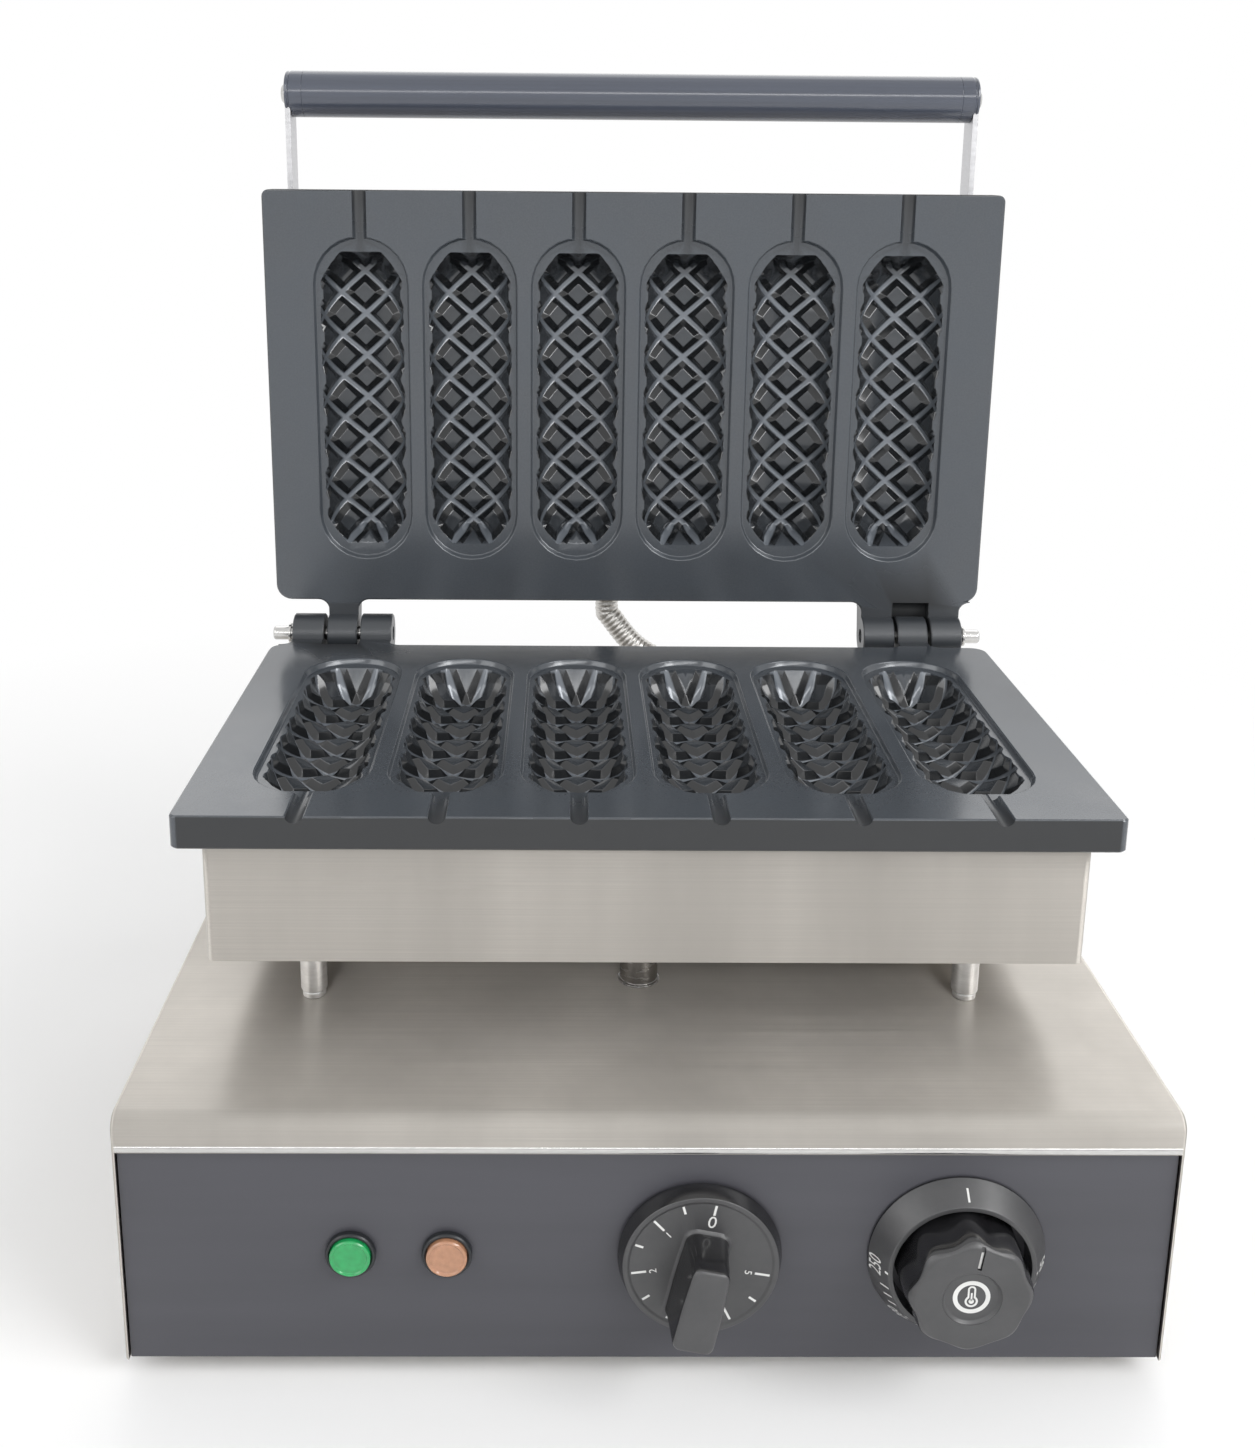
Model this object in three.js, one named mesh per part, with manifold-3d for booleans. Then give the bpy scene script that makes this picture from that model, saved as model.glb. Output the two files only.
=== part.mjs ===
// Corn dog waffle maker, with its lid standing open. Millimetres, +Z up, +Y towards the back and
// +X to the right of the person who stands at the controls.
import * as THREE from "three";
import { mergeVertices } from "three/addons/utils/BufferGeometryUtils.js";
import Module from "manifold-3d";

const wasm = await Module();
wasm.setup();

// Fits and cuts
const seat = 0.3; // gap left between two pieces that rest on each other
const runningGap = 0.1; // radial gap of a shaft in its hole
const overrun = 2; // how far a cut runs past the face that it opens
const knobSides = 24;
const roundSides = 16;
const middleSides = 12;
const smallSides = 8;
const hexSides = 6;
const cornerSteps = 1; // half the straight pieces in each arc of an outline
const bendSteps = 2; // the same for the wide bends
const archSteps = 4; // for half rounds
const knuckleSteps = 8; // and for a hinge knuckle

// Sheet steel base
const baseWidth = 360;
const baseDepth = 265;
const baseHeight = 95.2; // from the lower edge of the panels to the top
const sheet = 1.2;
const coverBend = 6;
const lipHeight = 13.4;
const panelTuck = 8; // how far a panel reaches up behind the lip
const panFlange = 12;
const ventCount = 8;
const ventWidth = 4;
const ventLength = 34;
const ventPitch = 10;
const ventCentreX = -80;

// Feet
const footHeight = 8;
const footRadius = 12;
const footTread = 10;
const footInset = 32;

// Studs and nuts
const studRadius = 3;
const nutRadius = 5.8;
const nutHeight = 4;

// Posts and wire tube that carry the lower unit
const postHeight = 33;
const postRadius = 5;
const postSideInset = 31.9; // from the lower casing's sides
const postFrontInset = 34.1; // from its front
const postRearInset = 16.7; // from its rear
const postFootRadius = 4.4;
const postFootHeight = 2.2;
const tubeRadius = 7.3;
const tubeBore = 4.2;
const tubeNeck = 5.4;
const tubeNut = 9;
const tubeFrontInset = 46.1; // from the lower casing's front

// Cast plates, upper and lower alike
const plateWidth = 328.6;
const plateDepth = 187.6;
const plateEdge = 12.3;
const plateFrontY = 34.5;
const frontCorner = 3;
const rearCorner = 7;
const matingGap = 0.3; // between the two closed plates
const bodyDrop = 8; // how far the heated middle reaches below the edge
const bodyInset = 6; // from the inside of the casing
const pillarRadius = 5;
const pillarInset = 12;

// Waffle cavities: a shallow rim round a trough
const cavityCount = 6;
const cavitySideMargin = 18.5; // from the plate's side to the first cavity's share of its width
const cavityEndMargin = 20.8;
const cavityBridge = 7.4; // between two rims
const rimDepth = 2.4;
const rimLedge = 3.1; // between the rim's outline and the trough's
const rimEndLedge = 6;
const troughEndShare = 18 / 35; // of the trough's width, left at its ends
const troughShoulder = 14; // how far the ends taper in along the length
const troughDepth = 11.7; // from the rim's floor down to the studs
const stickRadius = 3.2;
const stickLift = 0.6; // of a stick's middle above the plate's face

// Lattice of square studs in a trough, turned 45 degrees, with grooves between them
const studCount = 6; // in the middle row
const studEndGap = 9.4; // from the row's end to the trough's end
const studTopShare = 0.474; // of the way from a stud's middle to the crossing of its grooves
const grooveDepth = 3;
const crossingSinkShares = [1, 1, 0.5]; // of the grooves' depth, from the middle row outwards
const cornerSinkShare = -0.5;
const endSlope = 1.5; // fall of the trough's ends for each step inwards
const mouthWave = 0.6; // how far the trough's mouth widens at a groove and narrows at a stud

// Hinges, part of the plate castings
const hingeSetback = 16.3; // from the plate's rear edge to the pin
const hingeInset = 31.1; // from the plate's side to the hinge's middle
const knuckleRadius = 9.3;
const knuckleWidth = 13.8;
const forkGap = 17;
const lugWidth = 14.5;
const neckFillet = 5;
const pinRadius = 3.25;
const pinOuterEnd = 10;
const pinInnerEnd = 2.5;
const pinRingRadius = 4.6;
const pinRingWidth = 1.2;
const pinRingInset = 1.6; // from the outer lug to the ring
const lidOpenAngle = 90;

// Sheet steel casings under and over the plates
const casingInset = 8.4; // from the plate's edge
const casingHeight = 46.6;
const casingCorner = 3;

// Tubular heaters, their clamps and the bulb of the thermostat
const heaterRadius = 4;
const heaterSideInset = 39.3; // from the plate's sides
const heaterEndInset = 51.8; // from its front and rear
const heaterSides = 8;
const heaterTurnSteps = 8;
const clampWidth = 16;
const clampThickness = 3;
const clampMargin = 9; // past the heater on either side
const clampBoss = 8;
const bulbRadius = 3;
const bulbLength = 90;
const bulbX = -70;

// Handle
const handleStandOff = 42.1; // from the plate's front edge to the grip's middle
const handleHeight = 42; // from the mating plane to the arms' middle
const gripRadius = 10.3;
const armWidth = 15;
const armThickness = 2.5;
const armOverlap = 108; // along the casing's side
const armScrewInset = 14;
const capLength = 8;
const boltRadius = 2.5;
const boltHeadRadius = 4.6;
const boltHeadHeight = 2.4;
const boltDepth = 16; // in the grip
const screwRadius = 2;
const screwHeadRadius = 4.2;
const screwHeadHeight = 2.2;
const screwNutRadius = 4;
const screwNutHeight = 3;

// Controls
const controlHeight = 42.5; // above the lower edge of the front panel
const timerShare = 0.049; // of the base's width, from its middle
const thermostatShare = 0.293;
const greenLampShare = -0.281;
const amberLampShare = -0.19;
const knobStandOff = 0.8;
const shaftRadius = 3;
const shaftSink = 9; // of a shaft in its own mechanism
const shaftInKnob = 11;
const skirtRadius = 28;
const skirtFace = 26.4;
const skirtHeight = 6;
const barAngle = 11.5; // to the right of upright, where the timer is off
const barAbove = 12.5; // from the knob's middle to the bar's end beside the 0
const barBelow = 21;
const barWidth = 16;
const barTipWidth = 14;
const barHeight = 17;
const barDraft = 1.1;
const dialRadius = 30.4;
const dialFace = 25;
const dialBore = 23.4;
const dialHeight = 9;
const gripLobes = 8;
const gripOuter = 22.2;
const lobeDepth = 1.5;
const gripHeight = 21;
const gripFaceRadius = 20.2;
const gripShoulder = 3;
const gripDish = 9.5;
const gripDishDepth = 1;
const mechanismWidth = 44;
const mechanismHeight = 50;
const mechanismDepth = 38;
const bushRadius = 5;

// Pilot lamps
const bezelRadius = 8.6;
const bezelHeight = 2.2;
const lensRadius = 7.2;
const lensHeight = 2.6;
const lensRecess = 1.2;
const lampRadius = 6.2;
const lampDepth = 24;
const lampNutRadius = 8.5;
const lampNutHeight = 3;

// Wiring
const terminalWidth = 52;
const terminalDepth = 22;
const terminalHeight = 18;
const terminalOffset = 70; // from the cord inlet
const terminalInset = 75; // from the back of the base
const terminalWays = 5;
const terminalSlotWidth = 5;
const terminalSlotDepth = 9;
const inletInset = 50; // from the side of the base
const inletHeight = 26; // above the lower edge of the back panel
const inletRadius = 10;
const inletBore = 4.5;
const inletLength = 16;
const inletFlange = 2.5;

// Armoured conduit from the base to the lid, and its two glands
const conduitRadius = 5.6;
const conduitSides = 8;
const conduitSteps = 20;
const conduitSideShares = [0.27, 0.75, 1.02]; // of the way from the upper to the lower gland
const conduitBackShares = [0.08, 0.31, 0.63];
const conduitDropShares = [0.29, 0.44, 0.64];
const glandRadius = 9;
const glandNutHeight = 6;
const glandNeck = 6.6;
const glandLength = 11; // outside the sheet
const glandBore = 4;
const lidGlandX = -9;
const lidGlandHeight = 30; // from the mating plane
const baseGlandX = 42;
const baseGlandInset = 22; // from the back of the base

// Places worked out from the sizes above
const baseBottom = footHeight;
const baseTop = baseBottom + baseHeight;
const lipBottom = baseTop - lipHeight;
const panelFront = sheet + seat;
const panelBack = panelFront + sheet;
const backInner = baseDepth - panelBack;
const innerHalf = baseWidth / 2 - sheet;
const casingBottom = baseTop + postHeight;
const hingeY = plateFrontY + plateDepth + hingeSetback;
const face = -matingGap / 2;
const edgeBottom = face - plateEdge;
const bodyBottom = edgeBottom - bodyDrop;
const casingMouth = edgeBottom - seat;
const casingFloor = casingMouth - casingHeight;
const hingeZ = casingBottom - casingFloor;
const hingeCentreX = plateWidth / 2 - hingeInset;
const plateRear = -hingeSetback;
const plateFront = plateRear - plateDepth;
const plateMiddle = (plateRear + plateFront) / 2;
const casingHalf = plateWidth / 2 - casingInset;
const casingRear = plateRear - casingInset;
const casingFront = plateFront + casingInset;
const cavityPitch = (plateWidth - 2 * cavitySideMargin) / cavityCount;
const rimWidth = cavityPitch - cavityBridge;
const rimLength = plateDepth - 2 * cavityEndMargin;
const troughWidth = rimWidth - 2 * rimLedge;
const troughLength = rimLength - 2 * rimEndLedge;
const troughRadius = ((troughWidth / 2) ** 2 + troughDepth ** 2) / (2 * troughDepth);
const studStep = (troughLength / 2 - studEndGap) / studCount; // half the studs' pitch
const handleReach = handleStandOff - plateFront;
const heaterSpan = plateWidth - 2 * heaterSideInset;
const heaterGap = plateDepth - 2 * heaterEndInset;
const timerX = timerShare * baseWidth;
const thermostatX = thermostatShare * baseWidth;
const greenLampX = greenLampShare * baseWidth;
const amberLampX = amberLampShare * baseWidth;
const inletX = inletInset - baseWidth / 2;
const terminalX = inletX + terminalOffset;
const terminalY = baseDepth - terminalInset;
const controlZ = baseBottom + controlHeight;
const armInner = casingHalf + seat;
const armOuter = armInner + armThickness;
const tubeY = hingeY + casingFront + tubeFrontInset;
const postRows = [hingeY + casingFront + postFrontInset, hingeY + casingRear - postRearInset];
const postPlaces = [-1, 1].flatMap((side) =>
  postRows.map((y) => [side * (casingHalf - postSideInset), y]),
);

// Finishes
function finish(color, roughness, metalness) {
  return new THREE.MeshStandardMaterial({ color, roughness, metalness });
}
const brushedSteel = finish(0xb9b4ab, 0.38, 1);
const chromedSteel = finish(0xd5d5d3, 0.18, 1);
const coatedIron = finish(0x4f555b, 0.5, 0.25);
const panelPaint = finish(0x4a4a50, 0.5, 0.2);
const blackPlastic = finish(0x17181a, 0.3, 0);
const handlePlastic = finish(0x3c4452, 0.45, 0);
const darkPlastic = finish(0x24272b, 0.5, 0);
const rubber = finish(0x1a1a1a, 0.85, 0);
const greenLens = finish(0x1fae5a, 0.25, 0);
const amberLens = finish(0xc98a52, 0.25, 0);
const heaterSteel = finish(0x6f6a64, 0.5, 0.8);
const brass = finish(0xb59a52, 0.35, 1);
const bodyPlastic = finish(0x8d8f90, 0.6, 0);

// Solids from geometries
function signedVolume(position, index) {
  const [a, b, c] = [new THREE.Vector3(), new THREE.Vector3(), new THREE.Vector3()];
  let volume = 0;
  for (let i = 0; i < index.length; i += 3) {
    a.fromBufferAttribute(position, index[i]);
    b.fromBufferAttribute(position, index[i + 1]);
    c.fromBufferAttribute(position, index[i + 2]);
    volume += a.dot(b.cross(c));
  }
  return volume;
}

function solid(geometry) {
  const bare = new THREE.BufferGeometry();
  bare.setAttribute("position", geometry.getAttribute("position"));
  if (geometry.index) {
    bare.setIndex(geometry.index);
  }
  const merged = mergeVertices(bare);
  const position = merged.getAttribute("position");
  const corners = merged.index.array;
  const triangles = [];
  for (let i = 0; i < corners.length; i += 3) {
    const [a, b, c] = corners.slice(i, i + 3);
    if (a !== b && b !== c && c !== a) {
      triangles.push(a, b, c);
    }
  }
  if (signedVolume(position, triangles) < 0) {
    triangles.reverse();
  }
  return new wasm.Manifold(
    new wasm.Mesh({
      numProp: 3,
      vertProperties: Float32Array.from(position.array),
      triVerts: Uint32Array.from(triangles),
    }),
  );
}

function geometryOf(manifold) {
  const mesh = manifold.getMesh();
  const geometry = new THREE.BufferGeometry();
  geometry.setAttribute("position", new THREE.BufferAttribute(mesh.vertProperties, mesh.numProp));
  geometry.setIndex(new THREE.BufferAttribute(mesh.triVerts, 1));
  geometry.computeVertexNormals();
  return geometry;
}

function join(...solids) {
  return solids.reduce((all, next) => all.add(next));
}

function cut(body, ...tools) {
  return tools.reduce((rest, tool) => rest.subtract(tool), body);
}

// Basic forms. Each range is [from, to] along its axis.
function block(x, y, z) {
  const geometry = new THREE.BoxGeometry(x[1] - x[0], y[1] - y[0], z[1] - z[0]);
  geometry.translate((x[0] + x[1]) / 2, (y[0] + y[1]) / 2, (z[0] + z[1]) / 2);
  return solid(geometry);
}

// Turns a form that was drawn along its own Z or Y axis to lie along the named axis
const alongZ = {
  x: new THREE.Matrix4().makeBasis(
    new THREE.Vector3(0, 1, 0),
    new THREE.Vector3(0, 0, 1),
    new THREE.Vector3(1, 0, 0),
  ),
  y: new THREE.Matrix4().makeBasis(
    new THREE.Vector3(1, 0, 0),
    new THREE.Vector3(0, 0, 1),
    new THREE.Vector3(0, -1, 0),
  ),
  z: new THREE.Matrix4(),
};

function place(axis, along, across) {
  const [u, v] = across;
  return { x: [along, u, v], y: [u, along, v], z: [u, v, along] }[axis];
}

// An outline swept along an axis. It is drawn in YZ for x, in XZ for y and in XY for z.
function prism(axis, outline, range, steps = cornerSteps) {
  const geometry = new THREE.ExtrudeGeometry(outline, {
    depth: range[1] - range[0],
    bevelEnabled: false,
    curveSegments: steps,
  });
  geometry.applyMatrix4(alongZ[axis]);
  geometry.translate(...place(axis, axis === "y" ? range[1] : range[0], [0, 0]));
  return solid(geometry);
}

function rod(axis, radius, range, middle = [0, 0], sides = roundSides) {
  return turned(
    axis,
    [
      [0, range[0]],
      [radius, range[0]],
      [radius, range[1]],
      [0, range[1]],
    ],
    middle,
    sides,
  );
}

// A profile of [radius, place along the axis] turned round an axis
function turned(axis, profile, middle = [0, 0], sides = roundSides) {
  const points = profile.map(([radius, along]) => new THREE.Vector2(radius, along));
  const geometry = new THREE.LatheGeometry(points, sides);
  if (axis === "x") {
    geometry.rotateZ(-Math.PI / 2);
  }
  if (axis === "z") {
    geometry.rotateX(Math.PI / 2);
  }
  geometry.translate(...place(axis, 0, middle));
  return solid(geometry);
}

// A rectangle with one radius for its low-V corners and one for its high-V corners
function roundedRectangle(u, v, lowRadius, highRadius = lowRadius) {
  const outline = new THREE.Shape();
  outline.moveTo(u[0] + lowRadius, v[0]);
  outline.lineTo(u[1] - lowRadius, v[0]);
  outline.absarc(u[1] - lowRadius, v[0] + lowRadius, lowRadius, -Math.PI / 2, 0);
  outline.lineTo(u[1], v[1] - highRadius);
  outline.absarc(u[1] - highRadius, v[1] - highRadius, highRadius, 0, Math.PI / 2);
  outline.lineTo(u[0] + highRadius, v[1]);
  outline.absarc(u[0] + highRadius, v[1] - highRadius, highRadius, Math.PI / 2, Math.PI);
  outline.lineTo(u[0], v[0] + lowRadius);
  outline.absarc(u[0] + lowRadius, v[0] + lowRadius, lowRadius, Math.PI, (3 * Math.PI) / 2);
  return outline;
}

function stadium(halfWidth, from, to) {
  const outline = new THREE.Shape();
  outline.absarc(0, from + halfWidth, halfWidth, Math.PI, 2 * Math.PI);
  outline.absarc(0, to - halfWidth, halfWidth, 0, Math.PI);
  return outline;
}

// A closed skin through rings of equal point counts, listed from one end to the other
function loft(rings) {
  const count = rings[0].length;
  const points = rings.flat().flat();
  const faces = [];
  for (let ring = 0; ring + 1 < rings.length; ring += 1) {
    for (let i = 0; i < count; i += 1) {
      const a = ring * count + i;
      const b = ring * count + ((i + 1) % count);
      faces.push(a, b, b + count, a, b + count, a + count);
    }
  }
  const last = (rings.length - 1) * count;
  for (let i = 1; i + 1 < count; i += 1) {
    faces.push(0, i + 1, i, last, last + i, last + i + 1);
  }
  const geometry = new THREE.BufferGeometry();
  geometry.setAttribute("position", new THREE.Float32BufferAttribute(points, 3));
  geometry.setIndex(faces);
  return solid(geometry);
}

// A closed skin from faces of three or four points, all seen from the same side
function skin(faces) {
  const triangles = faces.flatMap(([a, b, c, d]) => (d ? [a, b, c, a, c, d] : [a, b, c]));
  const geometry = new THREE.BufferGeometry();
  geometry.setAttribute("position", new THREE.Float32BufferAttribute(triangles.flat(), 3));
  return solid(geometry);
}

// Base

function coverProfile(inset, bottom) {
  const bend = coverBend - inset;
  const front = inset;
  const back = baseDepth - inset;
  const top = baseTop - inset;
  const outline = new THREE.Shape();
  outline.moveTo(front, bottom);
  outline.lineTo(back, bottom);
  outline.lineTo(back, top - bend);
  outline.absarc(back - bend, top - bend, bend, 0, Math.PI / 2);
  outline.lineTo(front + bend, top);
  outline.absarc(front + bend, top - bend, bend, Math.PI / 2, Math.PI);
  return outline;
}

function baseCover() {
  const width = [-baseWidth / 2, baseWidth / 2];
  const shell = prism("x", coverProfile(0, baseBottom), width, bendSteps);
  const hollow = prism(
    "x",
    coverProfile(sheet, baseBottom - overrun),
    [-innerHalf, innerHalf],
    bendSteps,
  );
  const window = block(
    [-innerHalf, innerHalf],
    [-overrun, baseDepth + overrun],
    [baseBottom - overrun, lipBottom],
  );
  const roof = [baseTop - sheet - overrun, baseTop + overrun];
  const studHoles = postPlaces.map((at) => rod("z", studRadius + seat, roof, at, smallSides));
  const tubeHole = rod("z", tubeNeck + seat, roof, [0, tubeY]);
  const glandHole = rod("z", glandNeck + seat, roof, [baseGlandX, baseDepth - baseGlandInset]);
  return cut(shell, hollow, window, tubeHole, glandHole, ...studHoles);
}

function frontPanel() {
  const through = [panelFront - overrun, panelBack + overrun];
  const panel = block(
    [seat - innerHalf, innerHalf - seat],
    [panelFront, panelBack],
    [baseBottom, lipBottom + panelTuck],
  );
  const shafts = [timerX, thermostatX].map((x) =>
    rod("y", bushRadius + seat, through, [x, controlZ]),
  );
  const lamps = [greenLampX, amberLampX].map((x) =>
    rod("y", lampRadius + seat, through, [x, controlZ]),
  );
  return cut(panel, ...shafts, ...lamps);
}

function backPanel() {
  const back = baseDepth - panelFront;
  const through = [backInner - overrun, back + overrun];
  const panel = block(
    [seat - innerHalf, innerHalf - seat],
    [backInner, back],
    [baseBottom, lipBottom + panelTuck],
  );
  const inletHole = rod("y", inletRadius - inletFlange + seat, through, [
    inletX,
    baseBottom + inletHeight,
  ]);
  return cut(panel, inletHole);
}

function basePan() {
  const sideways = [2 * seat - innerHalf, innerHalf - 2 * seat];
  const lengthways = [panelBack + seat, backInner - seat];
  const tray = block(sideways, lengthways, [baseBottom, baseBottom + panFlange]);
  const hollow = block(
    [sideways[0] + sheet, sideways[1] - sheet],
    [lengthways[0] - overrun, lengthways[1] + overrun],
    [baseBottom + sheet, baseBottom + panFlange + overrun],
  );
  const floor = [baseBottom - overrun, baseBottom + sheet + overrun];
  const studHoles = footPlaces().map((at) => rod("z", studRadius + seat, floor, at, smallSides));
  const vents = Array.from({ length: ventCount }, (_, i) => {
    const middle = ventCentreX + (i - (ventCount - 1) / 2) * ventPitch;
    return block(
      [middle - ventWidth / 2, middle + ventWidth / 2],
      [(baseDepth - ventLength) / 2, (baseDepth + ventLength) / 2],
      floor,
    );
  });
  return cut(tray, hollow, ...studHoles, ...vents);
}

function footPlaces() {
  const x = baseWidth / 2 - footInset;
  return [
    [-x, footInset],
    [x, footInset],
    [-x, baseDepth - footInset],
    [x, baseDepth - footInset],
  ];
}

function foot(at) {
  const sheetTop = baseBottom + sheet;
  const profile = [
    [0, 0],
    [footTread, 0],
    [footRadius, baseBottom - seat],
    [studRadius, baseBottom - seat],
    [studRadius, sheetTop + seat],
    [nutRadius, sheetTop + seat],
    [nutRadius, sheetTop + seat + nutHeight],
    [0, sheetTop + seat + nutHeight],
  ];
  return turned("z", profile, at, middleSides);
}

// A spacer between the base and the lower casing, held by a nut inside each
function post(at) {
  const low = baseTop - sheet - seat;
  const high = casingBottom + sheet + seat;
  const stem = turned(
    "z",
    [
      [0, low],
      [studRadius, low],
      [studRadius, baseTop + seat],
      [postFootRadius, baseTop + seat],
      [postFootRadius, baseTop + seat + postFootHeight],
      [postRadius, baseTop + seat + postFootHeight],
      [postRadius, casingBottom - seat],
      [studRadius, casingBottom - seat],
      [studRadius, high],
      [0, high],
    ],
    at,
    smallSides,
  );
  const lowNut = rod("z", nutRadius, [low - nutHeight, low], at, hexSides);
  const highNut = rod("z", nutRadius, [high, high + nutHeight], at, hexSides);
  return join(stem, lowNut, highNut);
}

function wireTube() {
  const at = [0, tubeY];
  const low = baseTop - sheet - seat;
  const high = casingBottom + sheet + seat;
  const stem = turned(
    "z",
    [
      [0, low],
      [tubeNeck, low],
      [tubeNeck, baseTop + seat],
      [tubeRadius, baseTop + seat],
      [tubeRadius, casingBottom - seat],
      [tubeNeck, casingBottom - seat],
      [tubeNeck, high],
      [0, high],
    ],
    at,
    middleSides,
  );
  const lowNut = rod("z", tubeNut, [low - nutHeight, low], at, hexSides);
  const highNut = rod("z", tubeNut, [high, high + nutHeight], at, hexSides);
  const bore = rod(
    "z",
    tubeBore,
    [low - nutHeight - overrun, high + nutHeight + overrun],
    at,
    smallSides,
  );
  return cut(join(stem, lowNut, highNut), bore);
}

function terminalBlock() {
  const bottom = baseBottom + sheet + seat;
  const body = block(
    [terminalX - terminalWidth / 2, terminalX + terminalWidth / 2],
    [terminalY - terminalDepth / 2, terminalY + terminalDepth / 2],
    [bottom, bottom + terminalHeight],
  );
  const pitch = terminalWidth / terminalWays;
  const slots = Array.from({ length: terminalWays }, (_, i) => {
    const middle = terminalX + (i - (terminalWays - 1) / 2) * pitch;
    return block(
      [middle - terminalSlotWidth / 2, middle + terminalSlotWidth / 2],
      [terminalY - terminalDepth / 2 - overrun, terminalY + terminalDepth / 2 + overrun],
      [bottom + terminalHeight - terminalSlotDepth, bottom + terminalHeight + overrun],
    );
  });
  return cut(body, ...slots);
}

// A rubber bush in the back panel that a supply cord would enter by
function cordInlet() {
  const back = baseDepth - panelFront;
  const neck = inletRadius - inletFlange;
  return turned(
    "y",
    [
      [inletBore, backInner - seat - inletFlange],
      [inletRadius, backInner - seat - inletFlange],
      [inletRadius, backInner - seat],
      [neck, backInner - seat],
      [neck, back + seat],
      [inletRadius, back + seat],
      [inletRadius, back + seat + inletFlange],
      [neck, back + seat + inletLength],
      [inletBore, back + seat + inletLength],
      [inletBore, backInner - seat - inletFlange],
    ],
    [inletX, baseBottom + inletHeight],
    middleSides,
  );
}

// Controls

function mechanism(x) {
  const front = panelBack + seat;
  const body = block(
    [x - mechanismWidth / 2, x + mechanismWidth / 2],
    [front, front + mechanismDepth],
    [controlZ - mechanismHeight / 2, controlZ + mechanismHeight / 2],
  );
  const bush = rod("y", bushRadius, [panelFront, front + overrun], [x, controlZ]);
  const bore = rod(
    "y",
    shaftRadius + runningGap,
    [panelFront - overrun, panelFront + shaftSink + seat],
    [x, controlZ],
    roundSides,
  );
  return cut(join(body, bush), bore);
}

function shaft(x) {
  const tip = panelFront - knobStandOff - shaftInKnob;
  return rod("y", shaftRadius, [tip, panelFront + shaftSink], [x, controlZ], roundSides);
}

function shaftBore(x) {
  const back = panelFront - knobStandOff;
  return rod(
    "y",
    shaftRadius + runningGap,
    [back - shaftInKnob - seat, back + overrun],
    [x, controlZ],
    roundSides,
  );
}

function timerKnob() {
  const back = panelFront - knobStandOff;
  const front = back - skirtHeight;
  const skirt = turned(
    "y",
    [
      [0, back],
      [skirtRadius, back],
      [skirtRadius, back - seat],
      [skirtFace, front],
      [0, front],
    ],
    [timerX, controlZ],
    knobSides,
  );
  const angle = THREE.MathUtils.degToRad(barAngle);
  const across = [Math.cos(angle), -Math.sin(angle)];
  const along = [Math.sin(angle), Math.cos(angle)];
  const ring = (shrink, y) =>
    [
      [-barWidth / 2 + shrink, -barBelow + shrink],
      [barWidth / 2 - shrink, -barBelow + shrink],
      [barWidth / 2 - shrink, 0],
      [barTipWidth / 2 - shrink, barAbove - shrink],
      [-barTipWidth / 2 + shrink, barAbove - shrink],
      [-barWidth / 2 + shrink, 0],
    ].map(([u, v]) => [
      timerX + u * across[0] + v * along[0],
      y,
      controlZ + u * across[1] + v * along[1],
    ]);
  const bar = loft([ring(0, front + skirtHeight / 2), ring(barDraft, front - barHeight)]);
  return cut(join(skirt, bar), shaftBore(timerX));
}

function thermostatDial() {
  const back = panelFront - seat;
  return turned(
    "y",
    [
      [dialBore, back],
      [dialRadius, back],
      [dialRadius, back - seat],
      [dialFace, back - dialHeight],
      [dialBore, back - dialHeight],
      [dialBore, back],
    ],
    [thermostatX, controlZ],
    knobSides,
  );
}

function thermostatKnob() {
  const back = panelFront - knobStandOff;
  const front = back - gripHeight;
  const points = 6 * gripLobes;
  const ring = (radius, depth, y) =>
    Array.from({ length: points }, (_, i) => {
      const angle = (2 * Math.PI * i) / points;
      const reach = radius - (depth * (1 - Math.cos(gripLobes * angle))) / 2;
      return [thermostatX + reach * Math.sin(angle), y, controlZ + reach * Math.cos(angle)];
    });
  const grip = loft([
    ring(gripOuter, lobeDepth, back),
    ring(gripOuter, lobeDepth, front + gripShoulder),
    ring(gripFaceRadius, lobeDepth / 2, front),
  ]);
  const dish = rod(
    "y",
    gripDish,
    [front - overrun, front + gripDishDepth],
    [thermostatX, controlZ],
  );
  return cut(grip, dish, shaftBore(thermostatX));
}

function lampHolder(x) {
  const at = [x, controlZ];
  const front = panelFront - seat;
  const body = turned(
    "y",
    [
      [0, front - bezelHeight + lensRecess],
      [lensRadius + seat, front - bezelHeight + lensRecess],
      [lensRadius + seat, front - bezelHeight],
      [bezelRadius, front - bezelHeight],
      [bezelRadius, front],
      [lampRadius, front],
      [lampRadius, panelBack + lampDepth],
      [0, panelBack + lampDepth],
    ],
    at,
    middleSides,
  );
  const nut = rod(
    "y",
    lampNutRadius,
    [panelBack + seat, panelBack + seat + lampNutHeight],
    at,
    hexSides,
  );
  return join(body, nut);
}

function lampLens(x) {
  const back = panelFront - seat - bezelHeight + lensRecess - seat;
  return turned(
    "y",
    [
      [0, back],
      [lensRadius, back],
      [lensRadius, back - lensRecess],
      [lensRadius * Math.cos(Math.PI / 6), back - lensRecess - lensHeight / 2],
      [lensRadius / 2, back - lensHeight],
      [0, back - lensHeight],
    ],
    [x, controlZ],
    middleSides,
  );
}

// Plate units, drawn with the hinge pin on the X axis and the cooking face up

function cavityCentres() {
  return Array.from({ length: cavityCount }, (_, i) => (i - (cavityCount - 1) / 2) * cavityPitch);
}

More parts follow.
